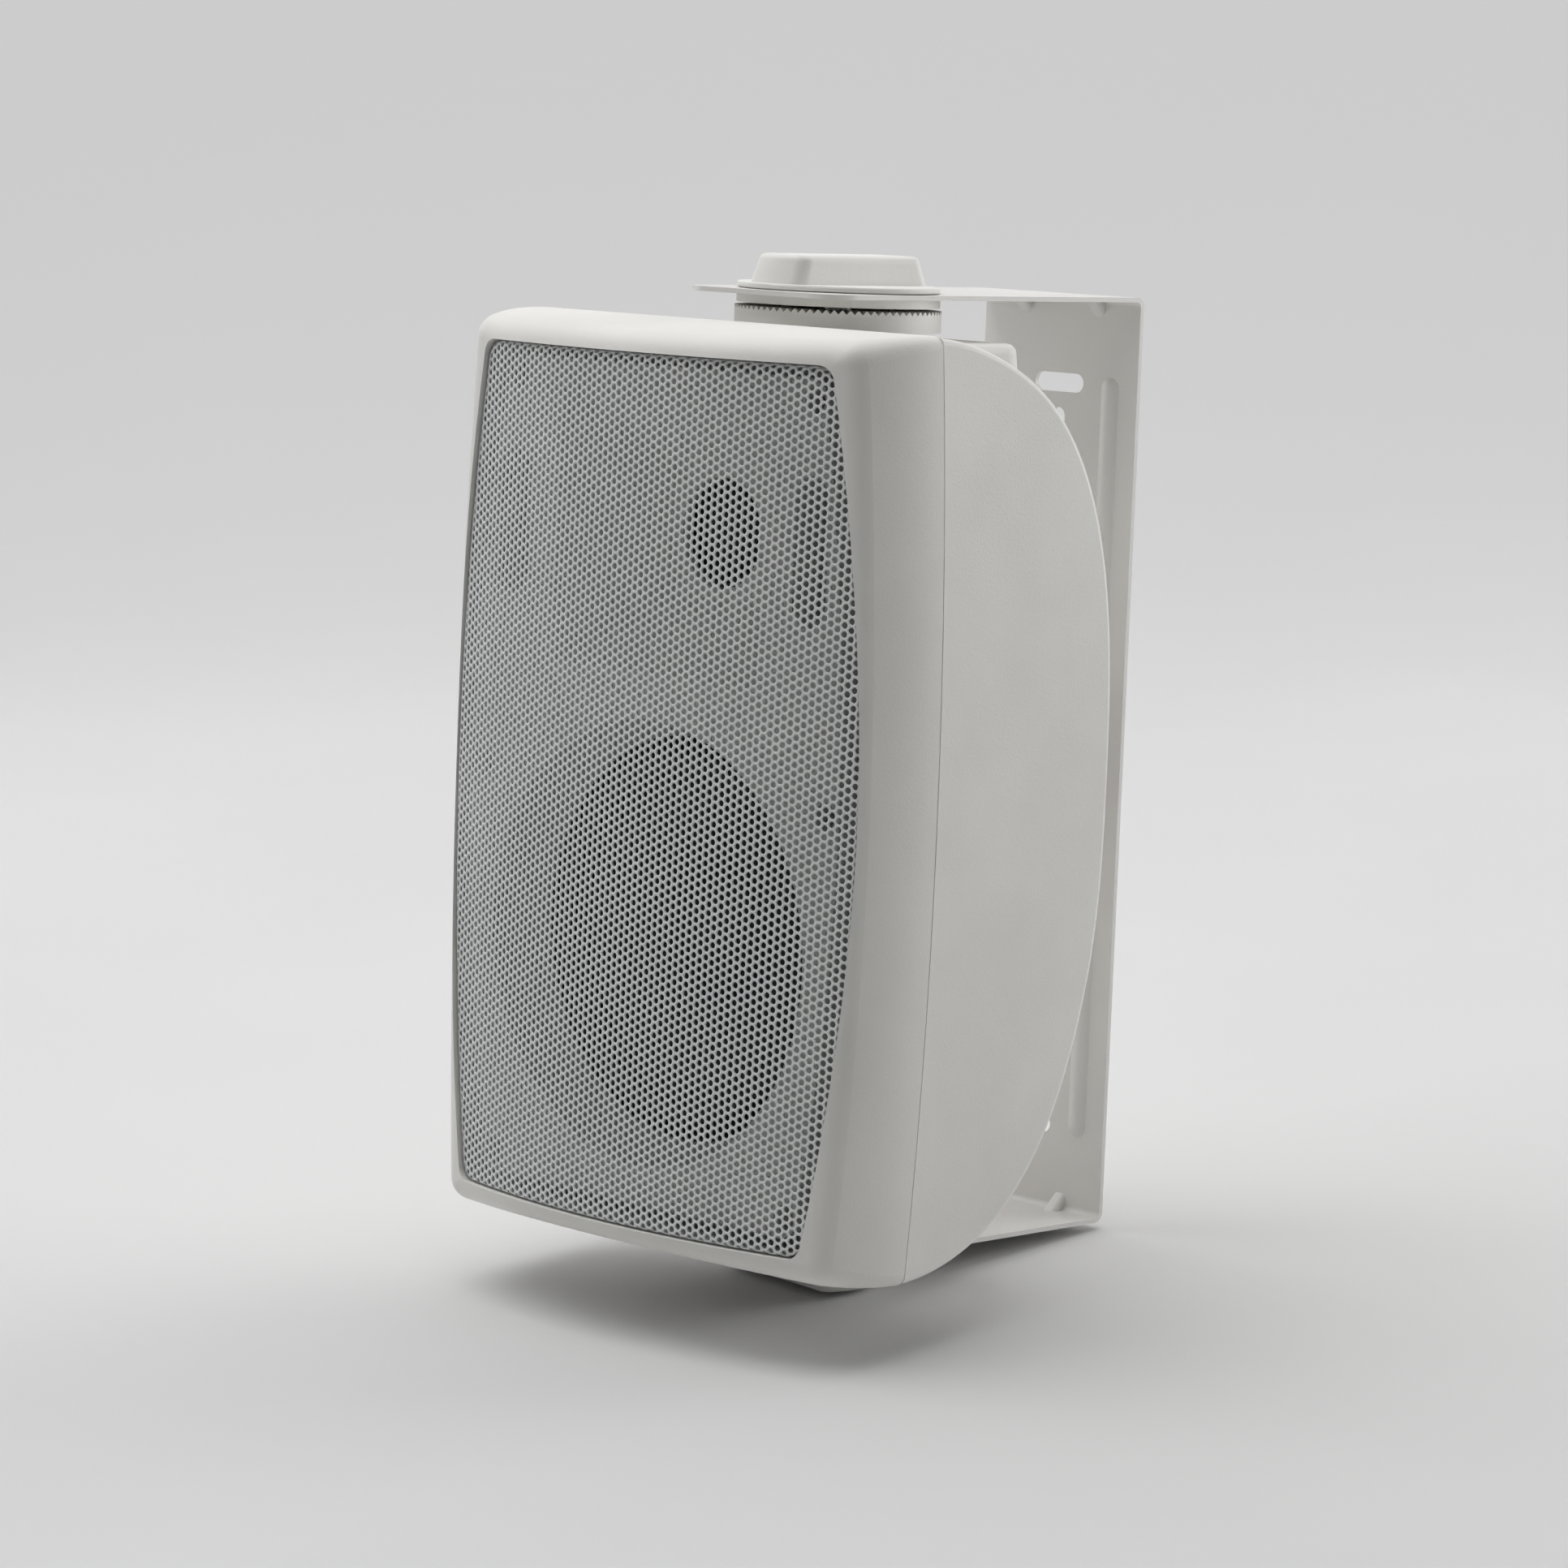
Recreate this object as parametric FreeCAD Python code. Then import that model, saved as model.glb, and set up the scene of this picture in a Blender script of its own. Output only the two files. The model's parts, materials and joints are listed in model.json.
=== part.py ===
import FreeCAD, Part
import math
import os
from FreeCAD import Vector

# A two-way wall speaker in a moulded cabinet, held between the legs of a folded steel bracket.
# Millimetres. The speaker faces -Y, +X is to the right of someone who looks at it, +Z is up.
# Pieces are drawn with Y as the depth behind the grille's crown, the foremost line of the grille.
# Saving moves them back, so that the origin is the middle of the bracket's back face, on the wall.

# Cabinet from the front
cabinet_height = 265.0
cabinet_width = 177.4
side_bulge = 5.4
corner_round = 4.0
front_corner = 9.0
wall = 3.0

# Cabinet from the side
seam_depth = 38.0
seam_gap = 1.0
shell_step = 0.6
shell_depth = 73.0
shell_edge_round = 2.0
side_draft = 2.0

# The shell's back curve from top to bottom, as shares of its depth and of half its height; it is fullest above middle
back_curve = ((0, 1), (0.165, 0.988), (0.38, 0.950), (0.60, 0.881), (0.80, 0.752), (0.945, 0.534),
              (1, 0.065), (0.966, -0.330), (0.88, -0.547), (0.705, -0.770), (0.51, -0.892), (0.24, -0.974), (0, -1))

# Bezel of the front frame
bezel_side_radius = 64.0
bezel_end_radius = 175.0
lip_proud = 1.4
lip_round = 8.0
bezel_end = 9.1
bezel_side = 6.3

# Grille, a sheet bent to one radius, with a folded rim
grille_radius = 275.0
grille_bulge = 12.3
grille_corner = 5.0
grille_sheet = 1.0
grille_rim = 8.0
grille_fold = 0.8
grille_clearance = 0.4
grille_columns = 12
grille_bar = 3.0

# Baffle and the channel round it that takes the grille's rim
baffle_clearance = 0.35
baffle_thickness = 3.0
channel_side = 7.0
channel_end = 4.0
channel_clearance = 1.4
inner_corner = 6.0

# Flange behind the bezel, where frame and shell meet on a foam strip
flange_width = 18.0
flange_thickness = 3.0
gasket_width = 5.5
gasket_inset = 0.3

# Tweeter horn with four flat flanks, and the tweeter behind it
tweeter_below_top = 60.5
horn_mouth_width = 84.0
horn_mouth_height = 78.0
horn_throat = 38.0
horn_length = 25.0
throat_radius = 16.0
tweeter_size = 56.0
tweeter_screw_offset = 24.0
dome_radius = 12.5
dome_rise = 5.0
dome_film = 0.6
tweeter_plate_thickness = 2.0
tweeter_plate_hole = 14.5
tweeter_gap_plate = 4.0
tweeter_magnet_thickness = 10.0
tweeter_magnet_radius = 27.0
tweeter_yoke_thickness = 4.0

# Woofer flare and the woofer behind it
woofer_above_bottom = 88.0
flare_mouth = 64.0
flare_throat = 58.5
flare_length = 18.0
woofer_rim = 67.5
woofer_screw_circle = 63.5
woofer_gasket_thickness = 1.0
basket_sheet = 1.5
basket_depth = 24.0
basket_back_radius = 42.0
basket_windows = 6
basket_window_width = 26.0
cone_edge_radius = 47.0
cone_land = 3.0
cone_depth = 15.0
cone_paper = 1.0
roll_film = 0.8
coil_radius = 12.6
coil_former = 0.3
coil_winding = 0.3
coil_length = 10.0
coil_clearance = 0.4
cap_radius = 18.0
cap_rise = 6.0
spider_radius = 38.0
spider_waves = 3
spider_wave_height = 0.9
spider_cloth = 0.5
spider_stand = 3.0
gap_plate_thickness = 5.0
gap_plate_radius = 40.0
magnet_thickness = 14.0
magnet_radius = 45.0
magnet_bore = 20.0
yoke_thickness = 5.0

# Slot ports beside the horn
port_inset = 27.9
port_width = 13.0
port_length = 42.0
port_wall = 2.5

# Screws that hold frame and shell together, driven from the front
cabinet_screw_corner_inset = 28.2
cabinet_screw_side_inset = 18.3
cabinet_screw_end_inset = 18.5
boss_radius = 4.8
shell_boss_length = 20.0
counterbore_radius = 3.9
counterbore_floor = 4.5
rib_thickness = 2.0

# Spine of the rear shell, which carries the pivots and the terminals
spine_width = 80.0
spine_behind_pivot = 38.0
spine_bow = 10.0
spine_round = 8.0
platform_drop = 4.5
platform_round = 3.0
recess_width = 136.0

# Pivots, each a pair of toothed mouldings clamped by a knob
pivot_depth = 80.5
pivot_to_wall = 97.7
ring_radius = 30.0
ring_undercut = 2.3
ring_thickness = 6.2
ring_bore = 4.4
ring_well_radius = 19.0
ring_well_drop = 2.4
spigot_radius = 22.0
spigot_flat = 17.0
spigot_drop = 1.5
tooth_count = 80
tooth_drop = 1.1
tooth_crest_share = 0.15
washer_radius = 29.5
washer_thickness = 2.6
washer_skirt = 2.0
washer_well_drop = 1.0
washer_tooth_drop = 0.9
washer_pin_radius = 2.0
washer_pin_offset = 14.0
coupling_gap = 0.9
lower_gap = 0.3
insert_radius = 6.0
insert_length = 23.0
insert_floor = 2.0
pivot_boss_radius = 11.0
pivot_boss_length = 27.0

# Knob with a steel bolt moulded in
stud_radius = 3.9
stud_reach = 21.0
stud_head_flats = 13.0
stud_head_height = 5.3
knob_radius = 29.5
knob_flange = 1.7
knob_flange_round = 0.6
knob_gap = 0.2
grip_base_width = 21.6
grip_top_width = 20.0
grip_base_radius = 29.0
grip_top_radius = 25.5
grip_height = 8.4
grip_corner = 4.5
grip_round = 2.4
bottom_knob_angle = 82.0
stud_cover = 2.4

# Bracket
sheet = 1.4
bend_radius = 1.7
bracket_width = 63.0
leg_overhang = 34.0
leg_corner = 10.0
bead_offset = 20.7
bead_below_leg = 21.5
bead_radius = 5.0
bead_rise = 1.4
gusset_offset = 15.0
gusset_leg = 5.0
gusset_width = 5.0
gusset_round = 1.6
gusset_dent_width = 2.0
slot_width = 5.7
cross_slot_length = 19.6
cross_slot_below_leg = 25.5
long_slot_length = 20.0
long_slot_below_leg = 33.0

# Terminals in a cup on the spine
cup_width = 50.0
cup_height = 40.0
cup_depth = 18.2
cup_wall = 2.0
cup_flange = 5.0
cup_flange_thickness = 2.0
cup_corner = 3.0
cup_seat_cut = 0.8
cup_screw_inset = 2.8
lever_offset = 10.5
lever_width = 15.0
lever_thickness = 3.0
lever_rise = 19.0
lever_tail = 2.5
lever_pin_radius = 1.4
lever_pin_height = -4.0
lever_setback = 6.2
lever_side_gap = 0.3
lever_ridge = 1.2
ear_thickness = 1.7
ear_height = 8.0
wire_block_height = 9.0
wire_block_gap = 5.0
wire_hole_radius = 1.7
contact_strip = 0.8
contact_width = 5.0
contact_base = 8.0
contact_tail = 9.0

# Crossover on posts in the spine
board_width = 62.0
board_height = 46.0
board_thickness = 1.6
board_centre_height = 62.0
board_to_spine = 16.0
board_post_radius = 3.5
board_post_inset = 5.0
capacitor_radius = 7.0
capacitor_length = 28.0
capacitor_rim = 1.0
choke_radius = 11.0
choke_bore = 5.0
choke_flange = 1.2
choke_width = 11.0
choke_offset = 12.5
resistor_length = 20.0
resistor_height = 8.0
component_rise = 10.0

# Screws and fits
screw_head_radius = 3.5
screw_head_height = 2.4
screw_shank_radius = 1.9
small_head_radius = 2.4
small_head_height = 1.6
small_shank_radius = 1.2
woofer_screw_length = 11.0
tweeter_screw_length = 7.0
cup_screw_length = 9.0
board_screw_length = 7.0
post_radius = 3.8
thread_clearance = 0.1
shaft_clearance = 0.05
fit = 0.1
over = 1.0

# Worked out from the sizes above
half_width = cabinet_width / 2
half_height = cabinet_height / 2
grille_width = cabinet_width - 2 * bezel_side
grille_height = cabinet_height - 2 * bezel_end
tweeter_height = half_height - tweeter_below_top
woofer_height = woofer_above_bottom - half_height
port_offset = half_width - port_inset
swing_radius = (half_height ** 2 + side_bulge ** 2) / (2 * side_bulge)
frame_end = seam_depth - seam_gap / 2
shell_start = seam_depth + seam_gap / 2
shell_end = seam_depth + shell_depth
platform = half_height - platform_drop
spine_middle = pivot_depth + spine_behind_pivot + spine_bow
opening_half_width = grille_width / 2 + grille_clearance
opening_half_height = grille_height / 2 + grille_clearance
island_half_width = opening_half_width - channel_side
baffle_depth = grille_radius - math.sqrt(grille_radius ** 2 - island_half_width ** 2) + grille_sheet + baffle_clearance
channel_floor = grille_radius - math.sqrt(grille_radius ** 2 - grille_width ** 2 / 4) + grille_rim + channel_clearance
woofer_seat = baffle_depth + flare_length
throat_face = baffle_depth + horn_length + wall
ring_base = platform + ring_undercut
ring_top = ring_base + ring_thickness
washer_base = ring_top + coupling_gap
leg_under = washer_base + washer_thickness
leg_top = leg_under + sheet
lower_rise = ring_undercut + coupling_gap - lower_gap
knob_base = leg_top + knob_gap
front_reach = pivot_depth + pivot_to_wall
plate_front = front_reach - sheet
cup_seat = spine_middle - cup_seat_cut
cup_floor = cup_seat - cup_depth + cup_wall
lever_axis_depth = cup_seat - lever_setback
X, Y, Z = Vector(1, 0, 0), Vector(0, 1, 0), Vector(0, 0, 1)
PIVOT = Vector(0, pivot_depth, 0)


# Helpers that draw and move shapes

def plan(x, y):
    return Vector(x, y, 0)


def side(y, z):
    return Vector(0, y, z)


def section(r, h):
    return Vector(r, 0, h)


def face_of(place, start, *steps):
    """Face inside a closed outline. A step is a point, or a pair of points for an arc: through, end."""
    edges = []
    here = start
    for step in steps + (start,):
        if isinstance(step[0], tuple):
            through, end = step
            edges.append(Part.Arc(place(*here), place(*through), place(*end)).toShape())
        else:
            end = step
            if math.dist(here, end) > 1e-6:
                edges.append(Part.LineSegment(place(*here), place(*end)).toShape())
        here = end
    return Part.Face(Part.Wire(edges))


def turned(base, axis, start, *steps):
    """Solid of revolution from an outline of (radius, height along the axis)."""
    solid = face_of(section, start, *steps).revolve(Vector(), Z, 360)
    solid.Placement = FreeCAD.Placement(base, FreeCAD.Rotation(Z, axis))
    return solid


def tube(base, axis, outer, inner, low, high):
    return turned(base, axis, (inner, low), (outer, low), (outer, high), (inner, high))


def rod(base, axis, radius, low, high):
    return Part.makeCylinder(radius, high - low, base + axis * low, axis)


def block(x0, x1, y0, y1, z0, z1):
    return Part.makeBox(x1 - x0, y1 - y0, z1 - z0, Vector(x0, y0, z0))


def edges_along(shape, axis):
    """Straight edges that run along an axis."""
    found = []
    for edge in shape.Edges:
        if edge.Curve.TypeId == "Part::GeomLine":
            run = edge.Vertexes[-1].Point - edge.Vertexes[0].Point
            if run.cross(axis).Length < 1e-6:
                found.append(edge)
    return found


def round_block(x0, x1, y0, y1, z0, z1, axis, radius):
    """Box with the four edges along one axis rounded."""
    box = block(x0, x1, y0, y1, z0, z1)
    return box.makeFillet(radius, edges_along(box, axis))


def barrel(half_w, half_h, bulge, depth_0, depth_1, corner):
    """Prism with straight ends and bowed sides, widest at mid height, with rounded corners."""
    end = half_w - bulge
    outline = face_of(lambda x, z: Vector(x, depth_0, z), (end, -half_h), ((half_w, 0), (end, half_h)),
                      (-end, half_h), ((-half_w, 0), (-end, -half_h)))
    prism = outline.extrude(Y * (depth_1 - depth_0))
    return prism.makeFillet(corner, edges_along(prism, Y))


def between_sides(right_section):
    """Solid between the cabinet's two bowed sides: the plan section of the right side, swung, and its mirror."""
    centre = X * (half_width - swing_radius)
    turn = math.degrees(math.asin((half_height + corner_round) / (swing_radius - cabinet_width)))
    swung = right_section.copy()
    swung.rotate(centre, Y, -turn)
    right = swung.revolve(centre, Y, 2 * turn)
    return right.common(right.mirror(Vector(), X))


def cap_arc(radius, rise, foot):
    """Arc step along a ball-shaped cap, from its top on the axis to its rim at the foot."""
    ball = (radius ** 2 + rise ** 2) / (2 * rise)
    half_angle = math.asin(radius / ball) / 2
    return (ball * math.sin(half_angle), foot - rise + ball * (1 - math.cos(half_angle)))


def slot(width, length, axis, depth_0, depth_1):
    """Round-ended slot through depth, centred on x = 0, z = 0, with its length along X or Z."""
    run = axis * ((length - width) / 2)
    across = axis.cross(Y) * (width / 2)
    start = Y * depth_0
    ends = [start + run + across, start + run + axis * (width / 2), start + run - across]
    others = [start - run - across, start - run - axis * (width / 2), start - run + across]
    edges = [Part.Arc(*ends).toShape(), Part.LineSegment(ends[2], others[0]).toShape(),
             Part.Arc(*others).toShape(), Part.LineSegment(others[2], ends[0]).toShape()]
    return Part.Face(Part.Wire(edges)).extrude(Y * (depth_1 - depth_0))


def moved(shape, x, y, z):
    copy = shape.copy()
    copy.translate(Vector(x, y, z))
    return copy


def upside_down(shape):
    return shape.mirror(Vector(), Z)


def joined(first, others):
    return first.fuse(others).removeSplitter()


def screw(base, axis, head_radius, head_height, shank_radius, length):
    """Pan-head screw: the head's flat underside is at the base, and the shank runs along the axis."""
    tip = shank_radius
    crown = head_radius * 0.6
    return turned(base, axis, (0, -head_height), (crown, -head_height),
                  ((head_radius * 0.9, -head_height * 0.75), (head_radius, -head_height * 0.25)),
                  (head_radius, 0), (shank_radius, 0), (shank_radius, length - tip), (0, length))


def save(name, *shapes):
    solids = [solid for shape in shapes for solid in shape.Solids]
    result = solids[0].copy() if len(solids) == 1 else Part.makeCompound(solids)
    result.translate(Vector(0, -front_reach, 0))
    result.exportStep("parts/%s.step" % name)
    print("%-22s %d solids, valid %s, %d faces" % (name, len(solids), result.isValid(), len(result.Faces)))


# Places that several pieces share

def corners(x, z):
    return [(sx * x, sz * z) for sx in (-1, 1) for sz in (-1, 1)]


cabinet_screw_middle = half_width - cabinet_screw_side_inset
cabinet_screw_places = corners(half_width - cabinet_screw_corner_inset, half_height - cabinet_screw_end_inset)
cabinet_screw_places += [(-cabinet_screw_middle, 0), (cabinet_screw_middle, 0)]
woofer_axis = Vector(0, 0, woofer_height)
tweeter_axis = Vector(0, 0, tweeter_height)
quarter = woofer_screw_circle * math.sqrt(0.5)
woofer_screw_places = [(x, woofer_height + z) for x, z in corners(quarter, quarter)]
tweeter_screw_places = [(x, tweeter_height + z) for x, z in corners(tweeter_screw_offset, tweeter_screw_offset)]
cup_screw_places = corners(cup_width / 2 + cup_flange - cup_screw_inset, cup_height / 2 + cup_flange - cup_screw_inset)
board_corner = (board_width / 2 - board_post_inset, board_height / 2 - board_post_inset)
board_post_places = [(x, board_centre_height + z) for x, z in corners(*board_corner)]
spine_radius = (platform ** 2 + spine_bow ** 2) / (2 * spine_bow)
board_face = spine_middle - board_to_spine


# Front frame: bezel, baffle, horn, flare and ports in one moulding

def bezel_curve(outer, radius, depth):
    """Place of the bezel's outer surface at a depth: an arc that meets the seam square."""
    return outer - radius + math.sqrt(radius ** 2 - (frame_end - depth) ** 2)


def frame_outside():
    front = -lip_proud - over
    middle = frame_end / 2
    plan_section = face_of(plan, (-half_width, front), (bezel_curve(half_width, bezel_side_radius, front), front),
                           ((bezel_curve(half_width, bezel_side_radius, middle), middle), (half_width, frame_end)),
                           (-half_width, frame_end))
    tops = [bezel_curve(half_height, bezel_end_radius, depth) for depth in (front, middle)]
    side_section = face_of(side, (front, -tops[0]), (front, tops[0]), ((middle, tops[1]), (frame_end, half_height)),
                           (frame_end, -half_height), ((middle, -tops[1]), (front, -tops[0])))
    ends = moved(side_section.extrude(X * cabinet_width), -half_width, 0, 0)
    lip_radius = grille_radius + lip_proud
    bow = Part.makeCylinder(lip_radius, cabinet_height, Vector(0, grille_radius, -half_height), Z)
    outside = between_sides(plan_section).common(ends).Solids[0]
    corners = [e for e in outside.Edges if e.BoundBox.YLength > baffle_depth and e.BoundBox.XLength < half_width]
    for mark in [Part.Vertex(e.discretize(3)[1]) for e in corners]:
        edge = min(outside.Edges, key=lambda e: e.distToShape(mark)[0])
        backward = edge.valueAt(edge.FirstParameter).y < edge.valueAt(edge.LastParameter).y
        radii = (front_corner, corner_round) if backward else (corner_round, front_corner)
        outside = outside.makeFillet(*radii, [edge])
    outside = outside.common(bow).Solids[0]
    lip_edges = [e for e in outside.Edges if all(
        abs(math.hypot(p.x, p.y - grille_radius) - lip_radius) < 0.01 for p in e.discretize(5))]
    return outside.makeFillet(lip_round, lip_edges)


def horn(extra, depth_0, depth_1):
    """Four flat flanks from the mouth to the throat, grown sideways by a wall or not."""
    rings = []
    for depth, width, height in ((depth_0, horn_mouth_width, horn_mouth_height), (depth_1, horn_throat, horn_throat)):
        w, h = width / 2 + extra, height / 2 + extra
        points = [Vector(x, depth, tweeter_height + z) for x, z in ((w, h), (-w, h), (-w, -h), (w, -h), (w, h))]
        rings.append(Part.makePolygon(points))
    return Part.makeLoft(rings, True, True)


def make_front_frame():
    pocket = barrel(opening_half_width, opening_half_height, grille_bulge, -grille_rim, channel_floor, grille_corner)
    island = barrel(island_half_width, opening_half_height - channel_end, grille_bulge,
                    baffle_depth, channel_floor + over, inner_corner)
    inside_baffle = barrel(opening_half_width - channel_side - wall, opening_half_height - channel_end - wall,
                           grille_bulge, baffle_depth + baffle_thickness, frame_end + over, inner_corner)
    behind_channel = channel_floor + baffle_thickness
    draw_side = half_width - bezel_curve(half_width, bezel_side_radius, behind_channel)
    draw_end = half_height - bezel_curve(half_height, bezel_end_radius, behind_channel)
    inside_bezel = barrel(half_width - wall - draw_side, half_height - wall - draw_end, side_bulge,
                          behind_channel, frame_end - flange_thickness, inner_corner)
    inside_flange = barrel(half_width - flange_width, half_height - flange_width, side_bulge,
                           behind_channel, frame_end + over, inner_corner)
    frame = frame_outside().cut([pocket.cut(island), inside_baffle, inside_bezel, inside_flange])

    flare_outer = turned(woofer_axis, Y, (0, baffle_depth), (flare_mouth + wall, baffle_depth),
                         (flare_throat + wall, woofer_seat), (0, woofer_seat))
    seat = rod(woofer_axis, Y, woofer_rim, woofer_seat - wall, woofer_seat)
    throat_plate = round_block(-tweeter_size / 2, tweeter_size / 2, throat_face - wall, throat_face,
                               tweeter_height - tweeter_size / 2, tweeter_height + tweeter_size / 2, Y, cup_corner)
    added = [flare_outer, seat, throat_plate, horn(wall, baffle_depth, throat_face - wall)]
    for sign in (-1, 1):
        duct = slot(port_width + 2 * port_wall, port_length + 2 * port_wall, Z, baffle_depth, frame_end)
        added.append(moved(duct, sign * port_offset, 0, tweeter_height))
    for x, z in cabinet_screw_places:
        added.append(rod(Vector(x, 0, z), Y, boss_radius, baffle_depth, shell_start))
    for x, z in woofer_screw_places:
        added.append(rod(Vector(x, 0, z), Y, post_radius, baffle_depth, woofer_seat))
    for x, z in tweeter_screw_places:
        added.append(rod(Vector(x, 0, z), Y, post_radius, throat_face - tweeter_screw_length, throat_face))
    frame = joined(frame, added)

    flare = turned(woofer_axis, Y, (0, baffle_depth - over), (flare_mouth, baffle_depth - over),
                   (flare_mouth, baffle_depth), (flare_throat, woofer_seat), (flare_throat, woofer_seat + over),
                   (0, woofer_seat + over))
    throat = rod(tweeter_axis, Y, throat_radius, baffle_depth, throat_face + over)
    cuts = [flare, horn(0, baffle_depth, throat_face - wall), throat]
    for sign in (-1, 1):
        duct = slot(port_width, port_length, Z, baffle_depth - over, frame_end + over)
        cuts.append(moved(duct, sign * port_offset, 0, tweeter_height))
    for x, z in cabinet_screw_places:
        place = Vector(x, 0, z)
        cuts.append(rod(place, Y, counterbore_radius, baffle_depth - over, shell_start - counterbore_floor))
        cuts.append(rod(place, Y, screw_shank_radius + thread_clearance, baffle_depth, shell_start + over))
    pilot = small_shank_radius + thread_clearance
    for x, z in woofer_screw_places:
        cuts.append(rod(Vector(x, 0, z), Y, pilot, woofer_seat - woofer_screw_length, woofer_seat + over))
    for x, z in tweeter_screw_places:
        cuts.append(rod(Vector(x, 0, z), Y, pilot, throat_face - tweeter_screw_length + over, throat_face + over))
    save("front_frame", frame.cut(cuts))


# Grille: curved sheet whose rim is folded back into the channel round the baffle

def grille_openings():
    """Honeycomb of six-sided openings, coarser than the real sheet's holes, where they clear the folded edge."""
    pitch = grille_width / grille_columns
    corner = (pitch - grille_bar) / math.sqrt(3)
    reach = pitch * math.sqrt(0.75)
    swing = (grille_height ** 2 / 4 + grille_bulge ** 2) / (2 * grille_bulge)
    hexagon = [Vector(corner * math.sin(math.radians(60 * k)), 0, corner * math.cos(math.radians(60 * k)))
               for k in range(7)]
    opening = Part.Face(Part.makePolygon(hexagon)).extrude(Y * (channel_floor + over))
    rows = math.floor(grille_height / 2 / reach)
    places = [((column + 0.5 * (row % 2)) * pitch, row * reach) for row in range(-rows, rows + 1)
              for column in range(-grille_columns, grille_columns)]
    margin = grille_bar + pitch / 2
    clear = [(x, z) for x, z in places if abs(z) < grille_height / 2 - margin
             and math.hypot(abs(x) + swing - grille_width / 2, z) < swing - margin]
    return [moved(opening, x, -over, z) for x, z in clear]


def make_grille():
    half_w, half_h = grille_width / 2, grille_height / 2
    reach = channel_floor + grille_rim
    outline = barrel(half_w, half_h, grille_bulge, -over, reach, grille_corner)
    inside = barrel(half_w - grille_sheet, half_h - grille_sheet, grille_bulge, -2 * over, reach + over,
                    grille_corner - grille_sheet)
    axis_foot = Vector(0, grille_radius, -half_height)
    front, back, rim = [Part.makeCylinder(grille_radius - inset, cabinet_height, axis_foot, Z)
                        for inset in (0, grille_sheet, grille_rim)]
    body = outline.common(front)
    edges = [e for e in body.Edges if all(
        abs(math.hypot(p.x, p.y - grille_radius) - grille_radius) < 0.01 for p in e.discretize(5))]
    body = body.makeFillet(grille_fold, edges)
    save("grille", body.cut([inside.common(back), rim]).cut(grille_openings()))


# Rear shell: D-shaped from the side, with a spine down its back

def d_profile(inset):
    """Side view of the shell: one smooth back curve between the two ends of the seam, drawn smaller by the inset."""
    top = half_height - shell_step - inset
    depth = shell_end - shell_start - inset
    points = [side(shell_start + along * depth, height * top) for along, height in back_curve]
    back = Part.BSplineCurve()
    back.interpolate(points)
    return Part.Face(Part.Wire([back.toShape(), Part.makeLine(points[-1], points[0])]))


def shell_sides(inset):
    outer = half_width - shell_step - inset
    return between_sides(face_of(plan, (-half_width, shell_start), (outer, shell_start),
                                 (outer - side_draft, shell_end), (-half_width, shell_end)))


def shell_d(inset):
    ends = moved(d_profile(inset).extrude(X * cabinet_width), -half_width, 0, 0)
    return shell_sides(inset).common(ends).Solids[0]


def spine_block(inset, start):
    """Block with a bowed back that carries the pivots; the inset makes its inside."""
    top = platform - inset
    back = spine_middle - inset
    end = back - (spine_radius - inset) + math.sqrt((spine_radius - inset) ** 2 - top ** 2)
    outline = face_of(side, (start, -top), (start, top), (end, top), ((back, 0), (end, -top)))
    spine = moved(outline.extrude(X * (spine_width - 2 * inset)), inset - spine_width / 2, 0, 0)
    upright = [e for e in spine.Edges if e.BoundBox.ZLength > platform and e.BoundBox.YMax > pivot_depth]
    spine = spine.makeFillet(spine_round - inset, upright)
    flat_ends = [e for e in spine.Edges if e.BoundBox.ZLength < 0.01 and e.BoundBox.YMax > start + 0.01]
    return spine.makeFillet(platform_round, flat_ends) if inset == 0 else spine


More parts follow.
